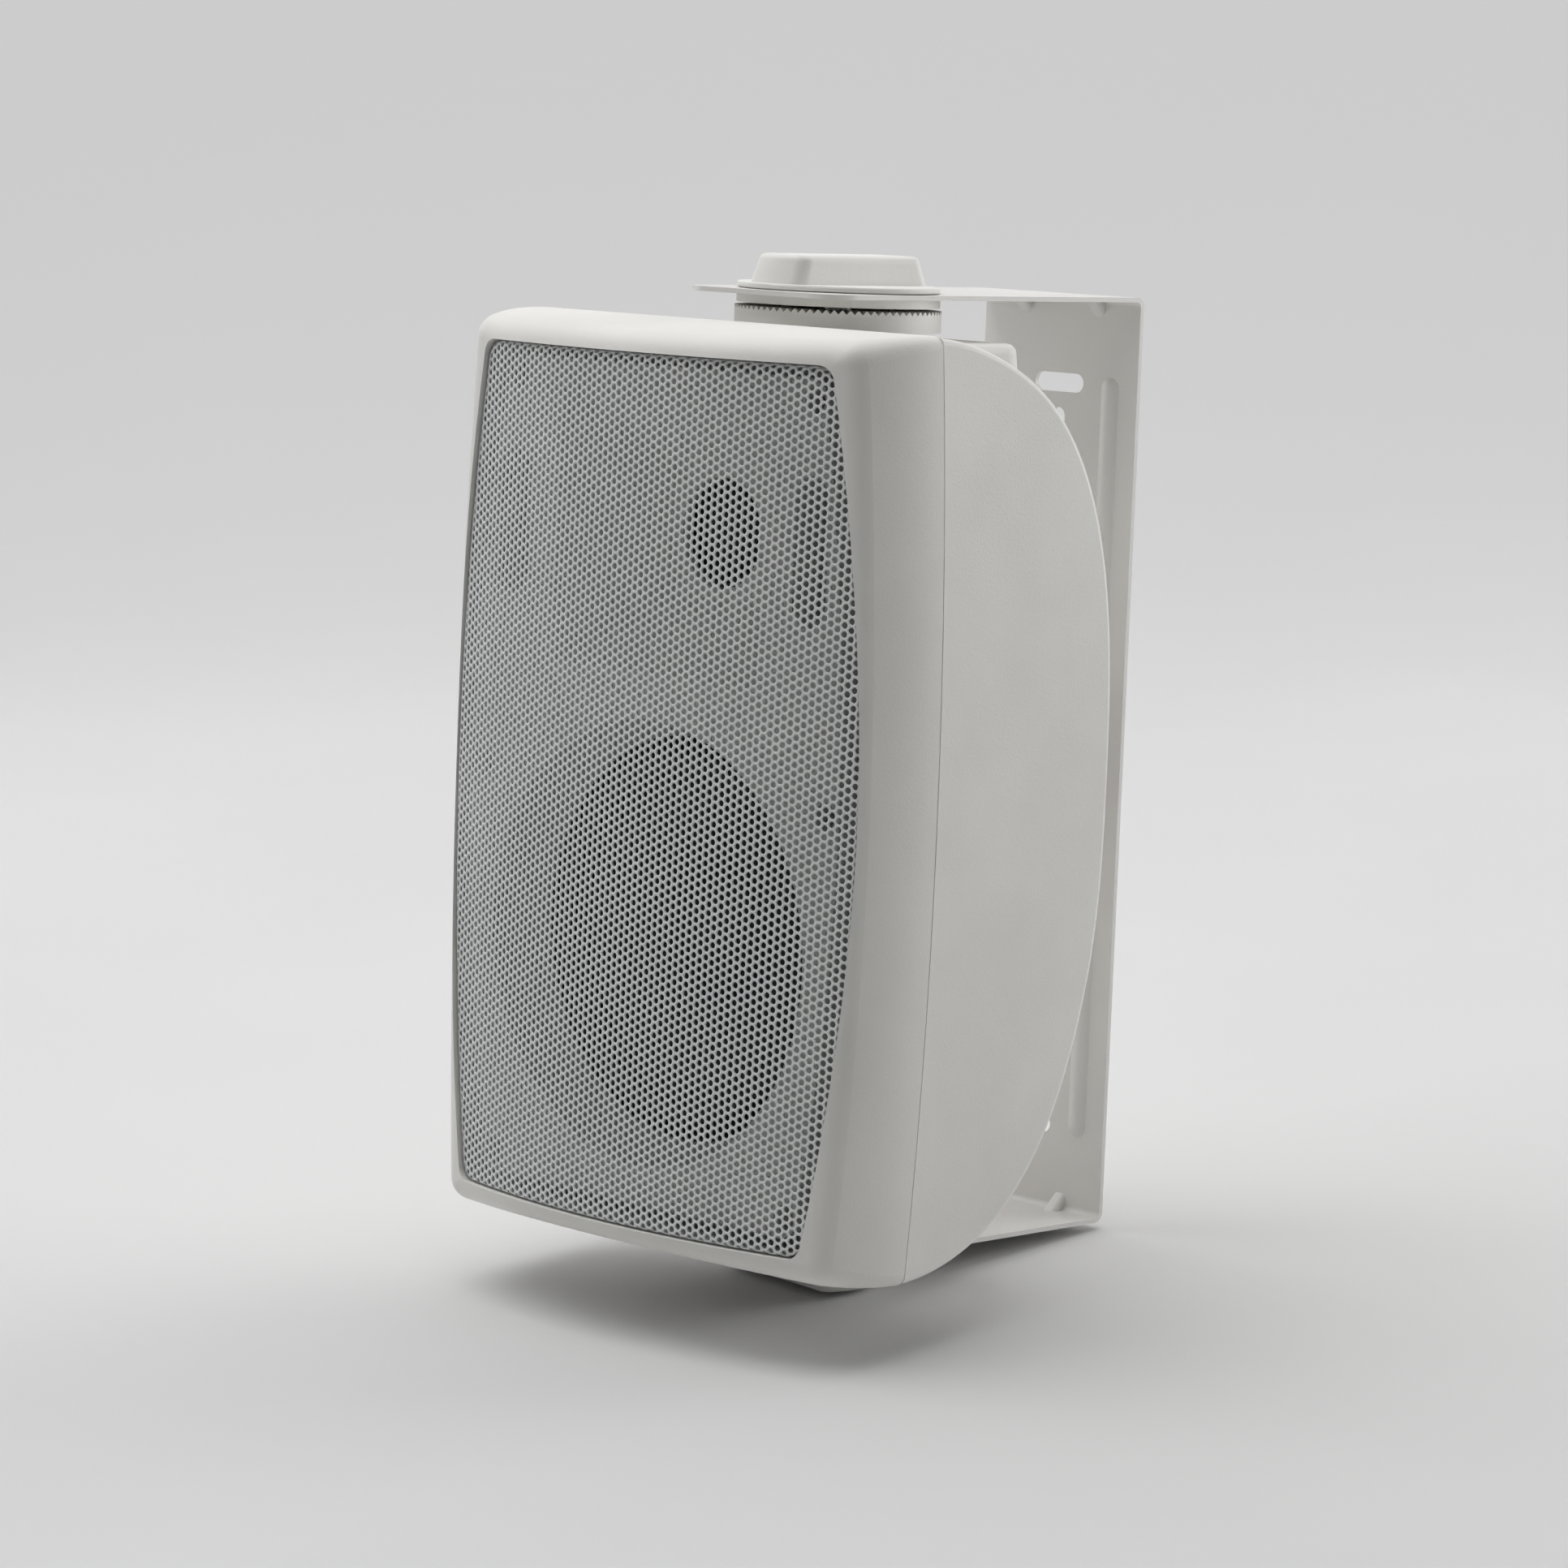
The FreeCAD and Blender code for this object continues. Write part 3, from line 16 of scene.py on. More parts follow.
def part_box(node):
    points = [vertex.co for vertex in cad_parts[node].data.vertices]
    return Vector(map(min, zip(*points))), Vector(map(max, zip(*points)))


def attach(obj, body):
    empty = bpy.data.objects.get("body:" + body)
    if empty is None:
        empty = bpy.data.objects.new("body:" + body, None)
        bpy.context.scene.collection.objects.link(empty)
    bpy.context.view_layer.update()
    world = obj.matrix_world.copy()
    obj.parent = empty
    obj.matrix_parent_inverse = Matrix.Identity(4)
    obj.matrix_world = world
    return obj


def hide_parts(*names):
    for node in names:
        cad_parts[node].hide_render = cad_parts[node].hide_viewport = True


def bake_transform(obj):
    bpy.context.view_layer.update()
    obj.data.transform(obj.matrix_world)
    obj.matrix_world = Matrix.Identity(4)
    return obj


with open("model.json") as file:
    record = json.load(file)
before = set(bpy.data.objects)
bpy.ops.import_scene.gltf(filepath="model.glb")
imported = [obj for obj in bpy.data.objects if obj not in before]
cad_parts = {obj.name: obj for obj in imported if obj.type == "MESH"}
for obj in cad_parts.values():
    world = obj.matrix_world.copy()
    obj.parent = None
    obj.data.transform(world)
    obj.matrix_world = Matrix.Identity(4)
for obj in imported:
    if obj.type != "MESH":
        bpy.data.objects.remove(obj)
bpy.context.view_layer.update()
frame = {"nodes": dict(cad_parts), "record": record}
nodes = frame["nodes"]
MM = 0.001

# %% [markdown]
# ## Tools for finishes
# A finish is a small tree of shader nodes. One helper turns a colour as a designer writes it into the linear
# values that the renderer needs. Another adds a node with its settings and links in one line.

# %% Colour and node helpers


def linear(code):
    """Linear RGBA of an sRGB hex colour: a channel c becomes ((c + 0.055) / 1.055) ** 2.4, or c / 12.92
    near black."""
    c = np.array([int(code[i:i + 2], 16) for i in (0, 2, 4)]) / 255
    lin = np.where(c > 0.04045, ((c + 0.055) / 1.055) ** 2.4, c / 12.92)
    return (*lin.tolist(), 1.0)


def add(tree, kind, links=None, values=None, **settings):
    """Adds one shader node. Settings are its properties, values its sockets' numbers, links its wires."""
    node = tree.nodes.new("ShaderNode" + kind)
    for key, value in settings.items():
        setattr(node, key, value)
    for socket, value in (values or {}).items():
        node.inputs[socket].default_value = value
    for socket, source in (links or {}).items():
        tree.links.new(source, node.inputs[socket])
    return node


def finish(name, **values):
    """A new material with values on its shader's own sockets, its tree, shader and Object coordinates."""
    material = bpy.data.materials.new(name)
    material.use_nodes = True
    tree = material.node_tree
    shader = tree.nodes["Principled BSDF"]
    for socket, value in values.items():
        shader.inputs[socket.replace("_", " ")].default_value = value
    place = add(tree, "TexCoord").outputs["Object"]
    return material, tree, shader, place


print("white in linear light:", linear("ffffff"))

# %% [markdown]
# ## What every surface has
# No real surface is one flat tone. Its colour drifts in slow patches, its roughness wanders where hands and
# moulds left their traces, and a fine grain spreads the light. Each of these is a noise whose scale is worked
# out from a size in millimetres. It reads Object coordinates, so it stays on the piece from every side. A
# grain that is too fine to show, such as a mould's spark texture or a weave, is drawn about half a millimetre
# coarse.

# %% Patches of tone and smears of gloss
patch_edges = (0.35, 0.65)
smear_edges = (0.3, 0.7)


def per_mm(size):
    """Texture scale whose cells are about this many millimetres across, for coordinates in metres."""
    return 1 / (size * MM)


def mottle(tree, place, shader, patch, tones):
    """Base colour from a slow noise between two tones, in patches of this many millimetres."""
    noise = add(tree, "TexNoise", {"Vector": place}, {"Scale": per_mm(patch), "Detail": 3.0})
    ramp = add(tree, "ValToRGB", {"Fac": noise.outputs["Fac"]})
    for stop, edge, tone in zip(ramp.color_ramp.elements, patch_edges, tones):
        stop.position = edge
        stop.color = linear(tone)
    tree.links.new(ramp.outputs["Color"], shader.inputs["Base Color"])


def satin(tree, place, shader, smear, rough):
    """Roughness from a noise that wanders between two values, in smears of this many millimetres."""
    noise = add(tree, "TexNoise", {"Vector": place}, {"Scale": per_mm(smear), "Detail": 4.0})
    spread = add(tree, "MapRange", {"Value": noise.outputs["Fac"]},
                 {"From Min": smear_edges[0], "From Max": smear_edges[1],
                  "To Min": rough[0], "To Max": rough[1]})
    tree.links.new(spread.outputs["Result"], shader.inputs["Roughness"])


print("noise cells per metre for a 45 mm patch: %.1f" % per_mm(45.0))

# %% Grain, and a whole surface


def grain(tree, place, shader, lump, height, detail):
    """Bump from a noise whose lumps are this many millimetres across and high."""
    noise = add(tree, "TexNoise", {"Vector": place}, {"Scale": per_mm(lump), "Detail": detail})
    bump = add(tree, "Bump", {"Height": noise.outputs["Fac"]}, {"Strength": 1.0, "Distance": height * MM})
    tree.links.new(bump.outputs["Normal"], shader.inputs["Normal"])


def surface(name, tones, patch, rough, smear, lump=None, height=0.0, detail=2.0, **values):
    """A finish with its patterns: two tones in patches, roughness in smears, and, where it has a grain,
    lumps of a height. All sizes are in millimetres."""
    material, tree, shader, place = finish(name, **values)
    mottle(tree, place, shader, patch, tones)
    satin(tree, place, shader, smear, rough)
    if lump:
        grain(tree, place, shader, lump, height, detail)
    return material


print("noise cells per metre for a 0.7 mm grain: %.0f" % per_mm(0.7))

# %% [markdown]
# ## White mouldings
# Frame, shell, knobs and pivots are moulded in warm white ABS. The mould was spark-eroded, which leaves a
# fine even grain that spreads the light. A few specks of dust sit in the grain of the real one. They are
# cells of a Voronoi pattern, most of them switched off.

# %% White ABS
# Colour sockets of a Mix node: the two that go in, and the one that comes out.
mix_first, mix_second, mix_result = 6, 7, 2


def specks(material, spacing, radius, share, tone):
    """Dark dots over a finish's colour: a dot lies where a Voronoi cell's centre is nearer than the radius,
    in a share of the cells."""
    tree = material.node_tree
    shader = tree.nodes["Principled BSDF"]
    place = tree.nodes["Texture Coordinate"].outputs["Object"]
    base = shader.inputs["Base Color"].links[0].from_socket
    cells = add(tree, "TexVoronoi", {"Vector": place}, {"Scale": per_mm(spacing)})
    near = add(tree, "Math", {0: cells.outputs["Distance"]}, {1: radius / spacing}, operation="LESS_THAN")
    pick = add(tree, "SeparateColor", {"Color": cells.outputs["Color"]})
    chosen = add(tree, "Math", {0: pick.outputs["Red"]}, {1: share}, operation="LESS_THAN")
    dot = add(tree, "Math", {0: near.outputs["Value"], 1: chosen.outputs["Value"]}, operation="MULTIPLY")
    mixed = add(tree, "Mix", {"Factor": dot.outputs["Value"], mix_first: base}, {mix_second: linear(tone)},
                data_type="RGBA")
    tree.links.new(mixed.outputs[mix_result], shader.inputs["Base Color"])


# ABS from a spark-eroded mould: a soft sheen and no sharp reflections.
white_abs = surface("white_abs_spark_textured", tones=("e3e2de", "e9e8e4"), patch=45.0,
                    rough=(0.42, 0.52), smear=25.0, lump=0.7, height=0.05, IOR=1.53, Specular_IOR_Level=0.3)
specks(white_abs, spacing=14.0, radius=0.22, share=0.05, tone="8b8780")
print("finish:", white_abs.name)

# %% [markdown]
# ## Painted steel
# Bracket and grille are steel under white powder coat. The powder melts into a skin with a faint orange peel,
# wavy over about two millimetres and glossier than the plastic. Both whites are a little greyer than the
# mouldings.

# %% Powder coats
# Powder coat on broad plates: faint waves in a satin gloss.
bracket_coat = surface("powder_coated_steel", tones=("dfddda", "e5e3e0"), patch=60.0, rough=(0.3, 0.4),
                       smear=30.0, lump=2.2, height=0.05, detail=1.0, IOR=1.5, Specular_IOR_Level=0.5)
specks(bracket_coat, spacing=18.0, radius=0.3, share=0.05, tone="9a9a92")
# Powder coat on perforated sheet: its bars are narrower than a wave, so only tone and gloss vary.
grille_coat = surface("powder_coated_perforated_steel", tones=("dcdfdf", "e2e4e4"), patch=35.0,
                      rough=(0.36, 0.46), smear=20.0, IOR=1.5)
print("finishes:", bracket_coat.name, grille_coat.name)

# %% [markdown]
# ## Behind the grille
# Through the holes one sees a coated paper cone, its rubber surround and a cloth dome. All three are near
# black, and only their grain and gloss tell them apart.

# %% Cone, surround and dome
# Coated paper: fibres that lie in all directions, dull and lumpy.
cone_paper = surface("coated_cone_paper", tones=("111113", "1b1b1d"), patch=6.0, rough=(0.5, 0.65),
                     smear=4.0, lump=0.9, height=0.12, detail=4.0, IOR=1.45)
# Moulded rubber: smooth and dull, with a broad highlight on the roll.
rubber = surface("butyl_rubber", tones=("121212", "191919"), patch=10.0, rough=(0.5, 0.62),
                 smear=6.0, lump=0.8, height=0.03, IOR=1.52)
# Coated silk: a fine weave under varnish, a little glossier than the cone.
silk = surface("coated_silk_dome", tones=("141416", "202022"), patch=4.0, rough=(0.45, 0.6),
               smear=3.0, lump=0.4, height=0.03, IOR=1.45)
print("finishes:", cone_paper.name, rubber.name, silk.name)

# %% [markdown]
# ## Terminals and fasteners
# On the back are moulded spring terminals, black with one red lever, with brass contacts and plated screws.
# The metals keep the shader's own index of refraction, because their colour is their reflection.

# %% Plastics and metals
# Black ABS: the spark texture shows as a grey sheen.
black_abs = surface("black_abs_moulded", tones=("17171a", "1e1e20"), patch=20.0, rough=(0.38, 0.5),
                    smear=15.0, lump=0.6, height=0.04, IOR=1.53)
# Red ABS: polished by fingers, so glossier than the black.
red_abs = surface("red_abs_moulded", tones=("a3161a", "b01c20"), patch=12.0, rough=(0.34, 0.44),
                  smear=8.0, lump=0.6, height=0.03, IOR=1.53)
# Zinc plate: a cloudy grey mirror.
zinc = surface("zinc_plated_steel", tones=("a5a5a2", "c4c4c0"), patch=5.0, rough=(0.28, 0.45),
               smear=3.0, lump=0.5, height=0.02, Metallic=1.0)
# Turned brass: a warm mirror with fine tool marks.
brass = surface("turned_brass", tones=("b08a45", "c9a25a"), patch=4.0, rough=(0.22, 0.38),
                smear=2.0, lump=0.4, height=0.02, Metallic=1.0)
print("finishes:", black_abs.name, red_abs.name, zinc.name, brass.name)

# %% [markdown]
# ## Inside the cabinet
# Basket, motors, crossover and seals are closed in. But the part may be taken apart, so each of them gets the
# look of what it is, except that the seal foam is darkened as painted shade for the seam.

# %% Drivers and seals
# Dip-painted steel: smooth black with soft runs.
black_steel = surface("black_painted_steel", tones=("1a1a1b", "232324"), patch=18.0, rough=(0.35, 0.5),
                      smear=12.0, lump=1.5, height=0.04, IOR=1.5)
# Ground ferrite: dense dark grey stone, matt.
ferrite = surface("ground_ferrite", tones=("2a2a2d", "38383b"), patch=8.0, rough=(0.5, 0.7),
                  smear=4.0, lump=0.5, height=0.05, IOR=2.0)
# Cotton dipped in resin: amber cloth, dry and rough.
cotton = surface("resin_dipped_cotton", tones=("8f6f38", "a9874c"), patch=5.0, rough=(0.6, 0.75),
                 smear=3.0, lump=0.7, height=0.12, detail=4.0, IOR=1.45)
# Closed-cell foam: dull and pitted. Its tones are darker than the foam's own beige as painted shade, so the
# seam between frame and shell reads as a shadowed groove.
foam = surface("closed_cell_foam", tones=("6f675b", "7f776a"), patch=4.0, rough=(0.75, 0.9),
               smear=3.0, lump=0.6, height=0.15, detail=3.0, IOR=1.4)
print("finishes:", black_steel.name, ferrite.name, cotton.name, foam.name)

# %% Coils and crossover
# Enamelled wire: warm metal in fine ridges.
copper = surface("enamelled_copper_wire", tones=("8f4a28", "b8683c"), patch=3.0, rough=(0.25, 0.4),
                 smear=2.0, lump=0.35, height=0.06, Metallic=1.0)
# Phenolic board: brown pressed paper with a dull gloss.
board = surface("phenolic_board", tones=("8a6a36", "9c7a42"), patch=9.0, rough=(0.4, 0.55),
                smear=6.0, lump=0.8, height=0.03, IOR=1.5)
# Plastic film wrap: yellow, tight and shiny.
film = surface("film_wrap", tones=("b78c22", "c99d30"), patch=6.0, rough=(0.18, 0.3),
               smear=4.0, lump=1.2, height=0.03, IOR=1.5)
# Cast cement: pale, chalky and sandy.
cement = surface("cast_cement", tones=("d3d0c8", "e2dfd8"), patch=3.0, rough=(0.7, 0.85),
                 smear=2.0, lump=0.5, height=0.1, detail=4.0, IOR=1.5)
print("finishes:", copper.name, board.name, film.name, cement.name)

# %% [markdown]
# ## Dressing the solids
# Each solid names a material slot in its record. A solid whose shape is right stays as it is, and only gets
# the finish of its slot.

# %% Finish for each slot
finish_of = {
    "white_abs": white_abs, "bracket_white": bracket_coat, "grille_white": grille_coat,
    "cone_paper": cone_paper, "rubber": rubber, "silk": silk,
    "black_abs": black_abs, "red_abs": red_abs, "zinc_steel": zinc, "brass": brass,
    "black_steel": black_steel, "ferrite": ferrite, "cotton": cotton, "foam": foam,
    "copper": copper, "circuit_board": board, "film": film, "cement": cement,
}
slot_of = {row["node"]: row["material_slot"] for row in frame["record"]["subparts"]}
for node, slot in slot_of.items():
    data = nodes[node].data
    data.materials.clear()
    data.materials.append(finish_of[slot])
print("dressed", len(slot_of), "solids")

# %% [markdown]
# ## The grille
# The real grille is one sheet of perforated steel, bent to a gentle curve, with its edge folded back all
# round. The holes run on through the fold, which a bump or an image can't show from the side. So the sheet is
# laid out flat first, as it left the punch: a honeycomb of six-sided cells, each with a round hole. One
# function then carries every flat point to its place on the bent and folded sheet, for the front skin and for
# the back skin.

# %% Bent and folded sheet
# Sizes of the grille in millimetres, as its solid has them.
sheet_radius = 275.0
half_width, half_height, side_bulge, corner = 82.4, 123.4, 12.3, 5.0
fold_radius = 1.3
sheet = 0.6
rim_depth = 7.2
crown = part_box("grille")[0][1] / MM
fold_length = fold_radius * math.pi / 2
side_radius = (half_height ** 2 + side_bulge ** 2) / (2 * side_bulge)


def edge_distance(x, z):
    """Distance outside the grille's outline, which is two bowed sides and two straight ends, rounded where
    they meet."""
    to_side = np.hypot(np.abs(x) + side_radius - half_width, z) - side_radius + corner
    to_end = np.abs(z) - half_height + corner
    outside = np.hypot(np.maximum(to_side, 0), np.maximum(to_end, 0))
    return np.minimum(np.maximum(to_side, to_end), 0) + outside - corner


def on_sheet(flat, depth):
    """Place on the bent sheet of a point on the flat one, at a depth below its front skin.
    Away from the edge: x = R sin(s / R) and y = R - R cos(s / R). Past the fold line the run goes round a
    quarter circle and then straight back, out along the slope of the distance to the edge."""
    s, z = flat[..., 0], flat[..., 1]
    x = sheet_radius * np.sin(s / sheet_radius)
    small = 1e-3
    run = edge_distance(x, z) + fold_radius
    out_x = (edge_distance(x + small, z) - edge_distance(x - small, z)) / (2 * small)
    out_z = (edge_distance(x, z + small) - edge_distance(x, z - small)) / (2 * small)
    past = np.maximum(run, 0)
    angle = np.minimum(past, fold_length) / fold_radius
    straight = np.maximum(past - fold_length, 0)
    outward = (fold_radius - depth) * np.sin(angle) - past
    backward = fold_radius - (fold_radius - depth) * np.cos(angle) + straight
    foot = x - out_x * past
    bow = sheet_radius - np.sqrt(sheet_radius ** 2 - foot ** 2)
    inward = np.where(run > 0, 0, depth) * foot / sheet_radius
    return np.stack([x + out_x * outward - inward, crown + bow + backward, z + out_z * outward], -1) * MM


print("grille: crown at %.1f mm, fold %.2f mm long" % (crown, fold_length))

# %% Honeycomb on the flat sheet
pitch = 2.5
hole_radius = 0.94
hole_sides = 12
half_columns, half_rows = 42, 54
pattern_turn = math.radians(1.6)
pattern_shift = 0.75 * pitch
columns, rows = np.meshgrid(np.arange(-half_columns, half_columns + 1),
                            np.arange(-half_rows, half_rows + 1), indexing="ij")
# Every second column is shifted by half a pitch.
column_place = columns * pitch * math.sqrt(3) / 2
row_place = (rows + 0.5 * (columns % 2)) * pitch + pattern_shift
cos_turn, sin_turn = math.cos(pattern_turn), math.sin(pattern_turn)
twist = np.array([[cos_turn, -sin_turn], [sin_turn, cos_turn]])
centres = np.stack([column_place, row_place], -1).reshape(-1, 2) @ twist
angles = np.radians(np.arange(hole_sides) * 360 / hole_sides)
spokes = np.stack([np.cos(angles), np.sin(angles)], -1) @ twist
cell_corners = spokes[::2] * pitch / math.sqrt(3)
hole_rim = spokes * hole_radius
past_fold = edge_distance(sheet_radius * np.sin(centres[:, 0] / sheet_radius), centres[:, 1]) + fold_radius
kept = past_fold + pitch / 2 < fold_length + rim_depth - fold_radius
centres, cell_columns = centres[kept], columns.reshape(-1)[kept]
print("grille:", len(centres), "cells of", pitch, "mm")

# %% Cells to meshes
merges_per_mm = 1000


def new_object(name, points, faces, material):
    """An object at the origin with one smooth mesh of these points and faces, in one material."""
    mesh = bpy.data.meshes.new(name)
    mesh.from_pydata(points, [], faces)
    mesh.shade_smooth()
    mesh.materials.append(material)
    made = bpy.data.objects.new(name, mesh)
    bpy.context.scene.collection.objects.link(made)
    return made


def perforated(name, centres):
    """One stretch of the sheet. A cell has six corners and a twelve-sided hole: 18 triangles join them on
    each skin, and 12 quads line the hole. Corners that neighbours share are merged by their place on the
    flat sheet."""
    count = len(centres)
    corner_points = (centres[:, None] + cell_corners).reshape(-1, 2)
    keys = np.round(corner_points * merges_per_mm).astype(np.int64)
    _, first, index = np.unique(keys, axis=0, return_index=True, return_inverse=True)
    corner_points = corner_points[first]
    here = index.reshape(count, -1)
    ahead = np.roll(here, -1, 1)
    rim_points = (centres[:, None] + hole_rim).reshape(-1, 2)
    flat = np.concatenate([corner_points, rim_points])
    points = np.concatenate([on_sheet(flat, 0.0), on_sheet(flat, sheet)])
    rim = len(corner_points) + np.arange(count * hole_sides).reshape(count, hole_sides)
    after = np.roll(rim, -1, 1)
    even, odd = rim[:, ::2], rim[:, 1::2]
    following = np.roll(even, -1, 1)
    skin = np.stack([np.stack([here, odd, even], -1), np.stack([here, ahead, odd], -1),
                     np.stack([ahead, following, odd], -1)], 1).reshape(-1, 3)
    behind = len(flat)
    lining = np.stack([rim, after, after + behind, rim + behind], -1).reshape(-1, 4)
    faces = skin[:, ::-1].tolist() + (skin + behind).tolist() + lining[:, ::-1].tolist()
    piece = new_object(name, points, faces, grille_coat)
    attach(piece, "cabinet")
    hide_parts("grille")
    return piece


third = (cell_columns.max() + 1) / 3
stretches = {"grille_left": (-math.inf, -third), "grille_middle": (-third, third),
             "grille_right": (third, math.inf)}
for name, (low, high) in stretches.items():
    piece = perforated(name, centres[(cell_columns >= low) & (cell_columns < high)])
    piece.data.calc_loop_triangles()
    print(name, len(piece.data.loop_triangles), "triangles")

# %% [markdown]
# ## Surround and spider
# The woofer's rubber surround and its pleated cloth spider are glued to the basket outside and to the cone
# inside, so they flex when the cone moves. A bend between two bodies runs along one line, and these are
# rings. So each ring is cut like a cake into sectors, each its own piece.

# %% Rings cut into sectors
sectors = 12
sector_angle = 2 * math.pi / sectors
weld = 0.001 * MM


def flexing(node):
    """Sectors of a ring about the woofer's axis: a triangle is in the sector of its middle's bearing."""
    data = nodes[node].data
    axis = np.mean(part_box(node), axis=0)
    points = np.array([v.co for v in data.vertices])
    corners = np.array([p.vertices for p in data.polygons])
    _, first, same = np.unique(np.round(points / weld), axis=0, return_index=True, return_inverse=True)
    triangles = same.reshape(-1)[corners]
    points = points[first]
    middle = points[triangles].mean(1) - axis
    bearing = np.arctan2(middle[:, 2], middle[:, 0])
    sector_of = np.round(bearing / sector_angle).astype(int) % sectors
    for k in range(sectors):
        used, local = np.unique(triangles[sector_of == k], return_inverse=True)
        faces = local.reshape(-1, 3).tolist()
        piece = new_object("%s_%02d" % (node, k), points[used], faces, data.materials[0])
        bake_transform(piece)
        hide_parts(node)
    print(node, "in", sectors, "sectors,", len(triangles), "triangles")


flexing("woofer_surround")
flexing("woofer_spider")

# %% [markdown]
# ## Camera
# The camera stands where the photo was taken from: to the right of the grille and a little above its middle.
# Its place, its turn and its long lens were fitted to the outline and the rows of holes of the grille.

# %% Camera place
camera_turn, camera_rise, camera_roll = math.radians(45.03), math.radians(6.79), math.radians(2.24)
camera_eye = Vector((1.1278, crown * MM - 1.0606, 0.1881))
focal_pixels, photo_pixels, sensor = 6808.0, 1932.0, 36.0


def pointing(turn, rise):
    """Unit vector at a turn from the front, to the right, and a rise above the level."""
    return Vector((math.sin(turn) * math.cos(rise), -math.cos(turn) * math.cos(rise), math.sin(rise)))


back = pointing(camera_turn, camera_rise)
level = Vector((math.cos(camera_turn), math.sin(camera_turn), 0))
upward = back.cross(level)
right = math.cos(camera_roll) * level + math.sin(camera_roll) * upward
upward = math.cos(camera_roll) * upward - math.sin(camera_roll) * level
camera_data = bpy.data.cameras.new("camera")
camera_data.sensor_width = sensor
camera_data.lens = sensor * focal_pixels / photo_pixels
camera = bpy.data.objects.new("camera", camera_data)
camera.matrix_world = Matrix.Translation(camera_eye) @ Matrix((right, upward, back)).transposed().to_4x4()
bpy.context.scene.collection.objects.link(camera)
bpy.context.scene.camera = camera
print("camera lens %.1f mm" % camera_data.lens)

# %% [markdown]
# ## How it stands
# Off its wall, the speaker stands on the grip of its lower knob and on the lower fold of its bracket, so it
# leans back by a few degrees. The object stays square in its frame here, and the paper under it is tilted
# instead.

# %% Lean
grip_half = 7.6 * MM
floor_gap = 0.2 * MM
bracket_low, bracket_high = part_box("wall_bracket")
knob_low, knob_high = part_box("bottom_knob")
grip_front = (knob_low[1] + knob_high[1]) / 2 - grip_half
lean = math.atan2(bracket_low[2] - knob_low[2], bracket_high[1] - grip_front)
floor_up = np.array((0, -math.sin(lean), math.cos(lean)))
feet = [nodes[name].matrix_world @ v.co
        for name in ("wall_bracket", "bottom_knob")
        for v in nodes[name].data.vertices]
floor_level = (np.array(feet) @ floor_up).min() - floor_gap
print("leans back %.1f degrees" % math.degrees(lean))

# %% [markdown]
# ## Backdrop
# The paper sweeps up behind without a line: one profile, floor, quarter bend and wall, carried across the
# view. Close to the speaker it is plain lit paper, with its shadow. Further off, where the lamps no longer
# reach, it fades into one pale tone, and so does the world behind it. Only rays that end in a picture see
# that tone, so it lights nothing. For them the paper is also clear from below, so that the underside of the
# speaker can be seen.

# %% Paper sweep
bend, run_front, run_back, run_up, run_side = 0.9, 2.4, 0.9, 2.6, 4.0
floor_steps, bend_steps, wall_steps, cross_steps = 11, 33, 8, 9
floor_run = np.linspace(-run_front, run_back, floor_steps, endpoint=False)
arc = np.linspace(0, math.pi / 2, bend_steps)
wall_rise = np.linspace(bend, bend + run_up, wall_steps + 1)[1:]
profile = np.concatenate([
    np.stack([floor_run, np.zeros(floor_steps)], -1),
    np.stack([run_back + bend * np.sin(arc), bend * (1 - np.cos(arc))], -1),
    np.stack([np.full(wall_steps, run_back + bend), wall_rise], -1)])
across = np.linspace(-run_side, run_side, cross_steps)
away = np.array((-back.x, -back.y)) / math.hypot(back.x, back.y)
side = np.array((level.x, level.y))
ground = profile[:, None, :1] * away + across[None, :, None] * side
height = floor_level + np.broadcast_to(profile[:, None, 1], ground.shape[:2])
slope = np.array((0, math.cos(lean), math.sin(lean)))
sweep = ground[..., :1] * np.array((1, 0, 0)) + ground[..., 1:] * slope + height[..., None] * floor_up
grid = np.arange(height.size).reshape(height.shape)
quads = np.stack([grid[:-1, :-1], grid[:-1, 1:], grid[1:, 1:], grid[1:, :-1]], -1).reshape(-1, 4)
# Pale matt paper: even, with the faintest clouds.
paper, tree, shader, place = finish("pale_paper", Roughness=0.9, Specular_IOR_Level=0.2)
mottle(tree, place, shader, patch=300.0, tones=("dadada", "dddddd"))
floor = new_object("paper", sweep.reshape(-1, 3), quads.tolist(), paper)
print("paper:", len(quads), "quads")

# %% Fade of the paper
backdrop = "cccccc"
fade_start, fade_end = 0.8, 1.7


def eye_rays(tree):
    """1 for a ray that the camera sends straight, by a reflection or through glass, and 0 for one that
    gathers light."""
    path = add(tree, "LightPath").outputs
    mirrored = add(tree, "Math", {0: path["Is Camera Ray"], 1: path["Is Glossy Ray"]}, operation="ADD")
    seen = add(tree, "Math", {0: mirrored.outputs["Value"], 1: path["Is Transmission Ray"]},
               operation="ADD", use_clamp=True)
    return seen.outputs["Value"]


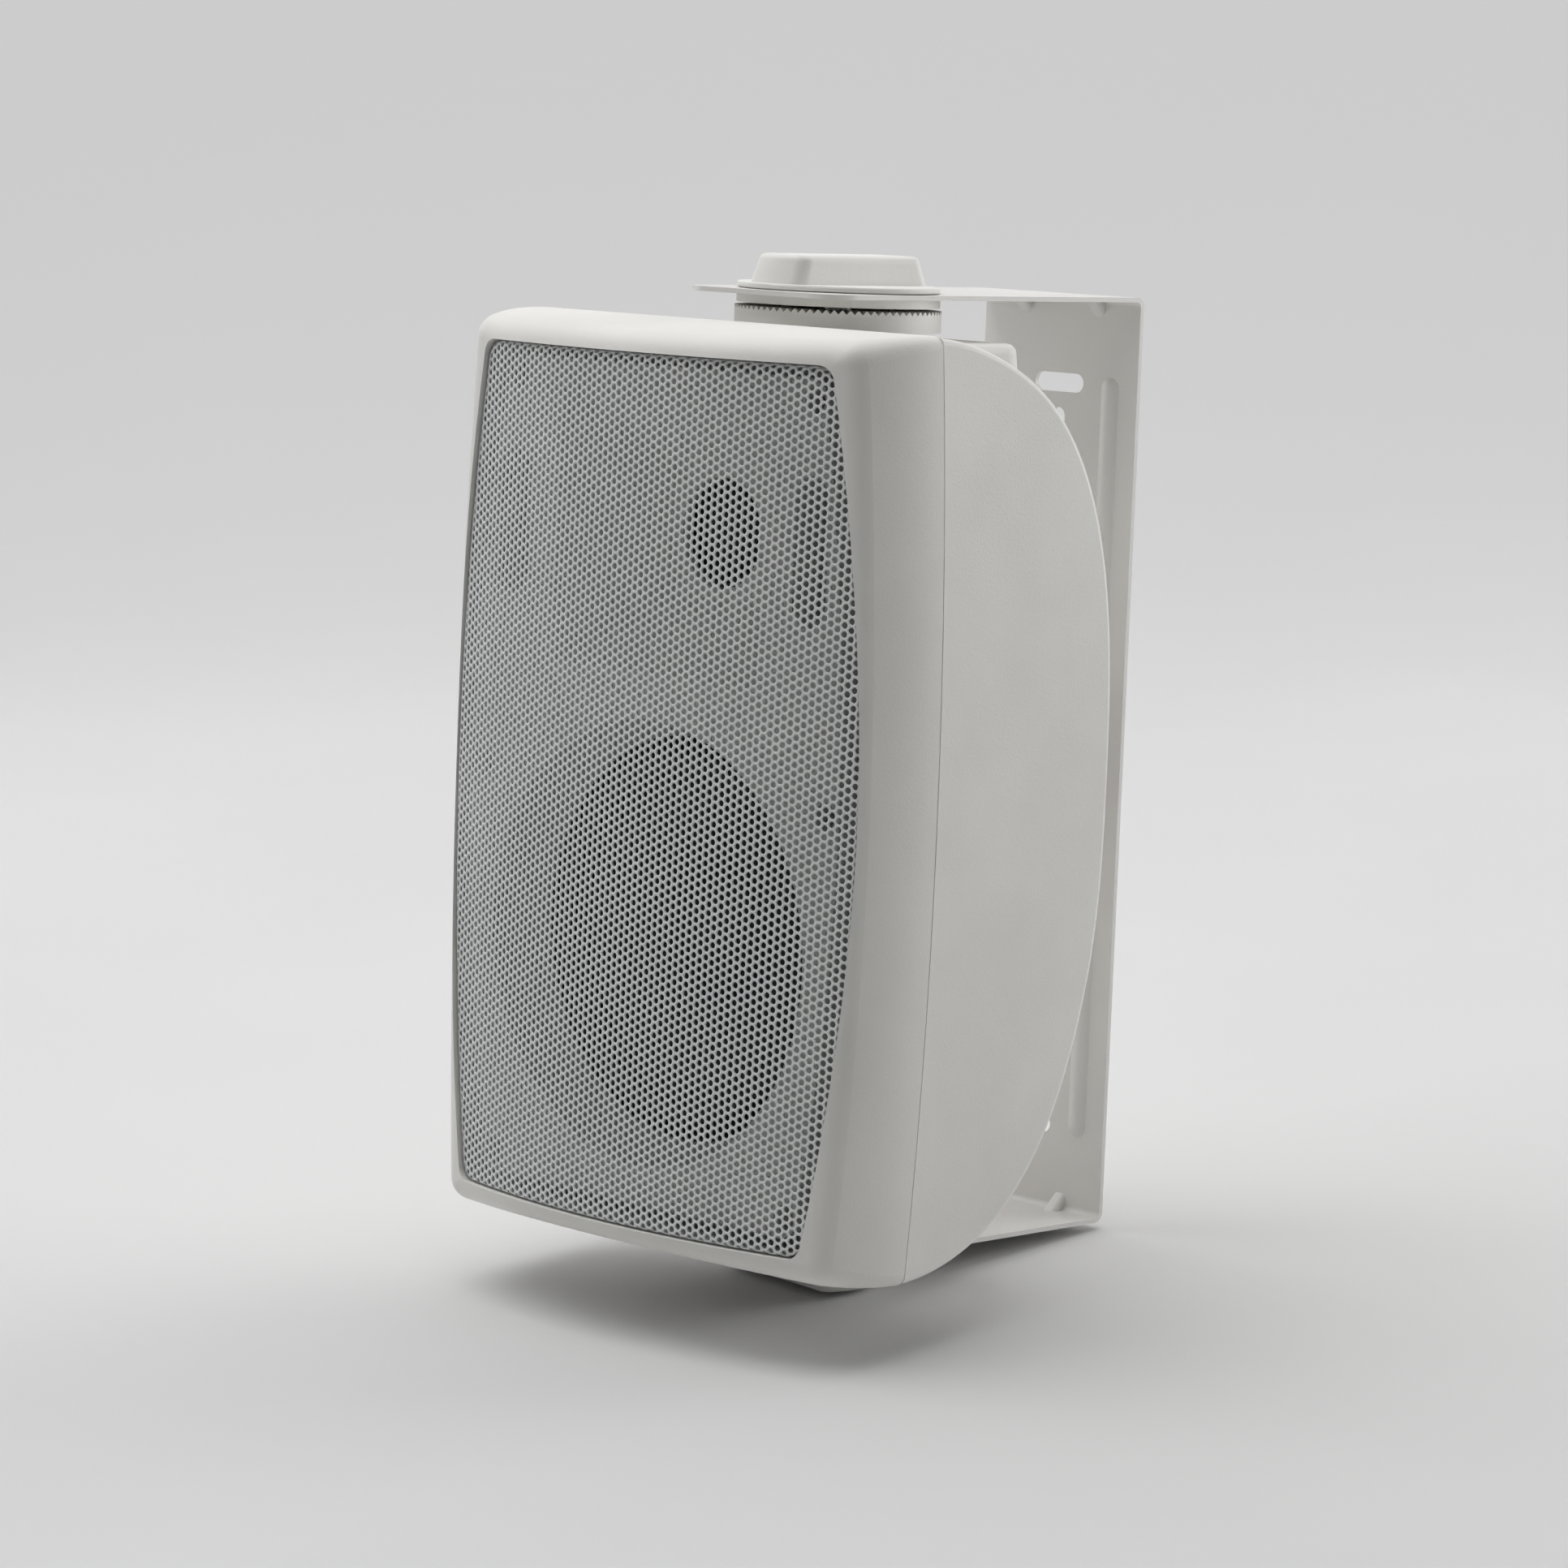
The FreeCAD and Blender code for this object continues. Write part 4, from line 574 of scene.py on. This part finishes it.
from_middle = add(tree, "VectorMath", {0: place}, operation="LENGTH")
far = add(tree, "MapRange", {"Value": from_middle.outputs["Value"]},
          {"From Min": fade_start, "From Max": fade_end}, interpolation_type="SMOOTHSTEP")
fade = add(tree, "Math", {0: far.outputs["Result"], 1: eye_rays(tree)}, operation="MULTIPLY")
pale = add(tree, "Emission", values={"Color": linear(backdrop)})
upper = add(tree, "MixShader",
            {0: fade.outputs["Value"], 1: shader.outputs["BSDF"], 2: pale.outputs["Emission"]})
underneath = add(tree, "NewGeometry").outputs["Backfacing"]
under = add(tree, "Math", {0: underneath, 1: eye_rays(tree)}, operation="MULTIPLY")
clear = add(tree, "BsdfTransparent")
sided = add(tree, "MixShader",
            {0: under.outputs["Value"], 1: upper.outputs["Shader"], 2: clear.outputs["BSDF"]})
tree.links.new(sided.outputs["Shader"], tree.nodes["Material Output"].inputs["Surface"])
print("backdrop tone", backdrop, "beyond", fade_end, "m")

# %% [markdown]
# ## Light
# The photo was lit from above, from the left and from behind at the right. Nothing stands at the camera's own
# side, so the faces that look at the lens are the greyest ones. Each lamp is a soft square panel, placed by
# its bearing from the front, its rise and its distance, and turned to face the object.

# %% Lamps
target = Vector((0, -0.1, 0))
# Bearing and rise in degrees, distance and size in metres, power in watts.
lamps = {
    "left_front": (-60, 15, 2.0, 1.6, 5.4),
    "left": (-85, 18, 2.0, 1.4, 4.6),
    "right_behind": (152, 12, 2.0, 1.4, 25.5),
    "top": (-60, 80, 1.9, 2.4, 37.5),
    "top_front": (-40, 60, 2.0, 1.6, 5.4),
}
for name, (bearing, rise, distance, size, watts) in lamps.items():
    toward = pointing(math.radians(bearing), math.radians(rise))
    lamp = bpy.data.lights.new(name, "AREA")
    lamp.shape = "SQUARE"
    lamp.size = size
    lamp.energy = watts
    holder = bpy.data.objects.new(name, lamp)
    holder.location = target + distance * toward
    holder.rotation_euler = toward.to_track_quat("Z", "Y").to_euler()
    bpy.context.scene.collection.objects.link(holder)
print("lamps:", ", ".join(lamps))

# %% World
tent_glow = 0.05
world = bpy.data.worlds.new("tent")
world.use_nodes = True
tree = world.node_tree
sky = tree.nodes["Background"]
sky.inputs["Color"].default_value = linear(backdrop)
strength = add(tree, "MapRange", {"Value": eye_rays(tree)}, {"To Min": tent_glow, "To Max": 1.0})
tree.links.new(strength.outputs["Result"], sky.inputs["Strength"])
bpy.context.scene.world = world
bpy.context.scene.view_settings.view_transform = "Standard"
print("world: strength", tent_glow, "as light")
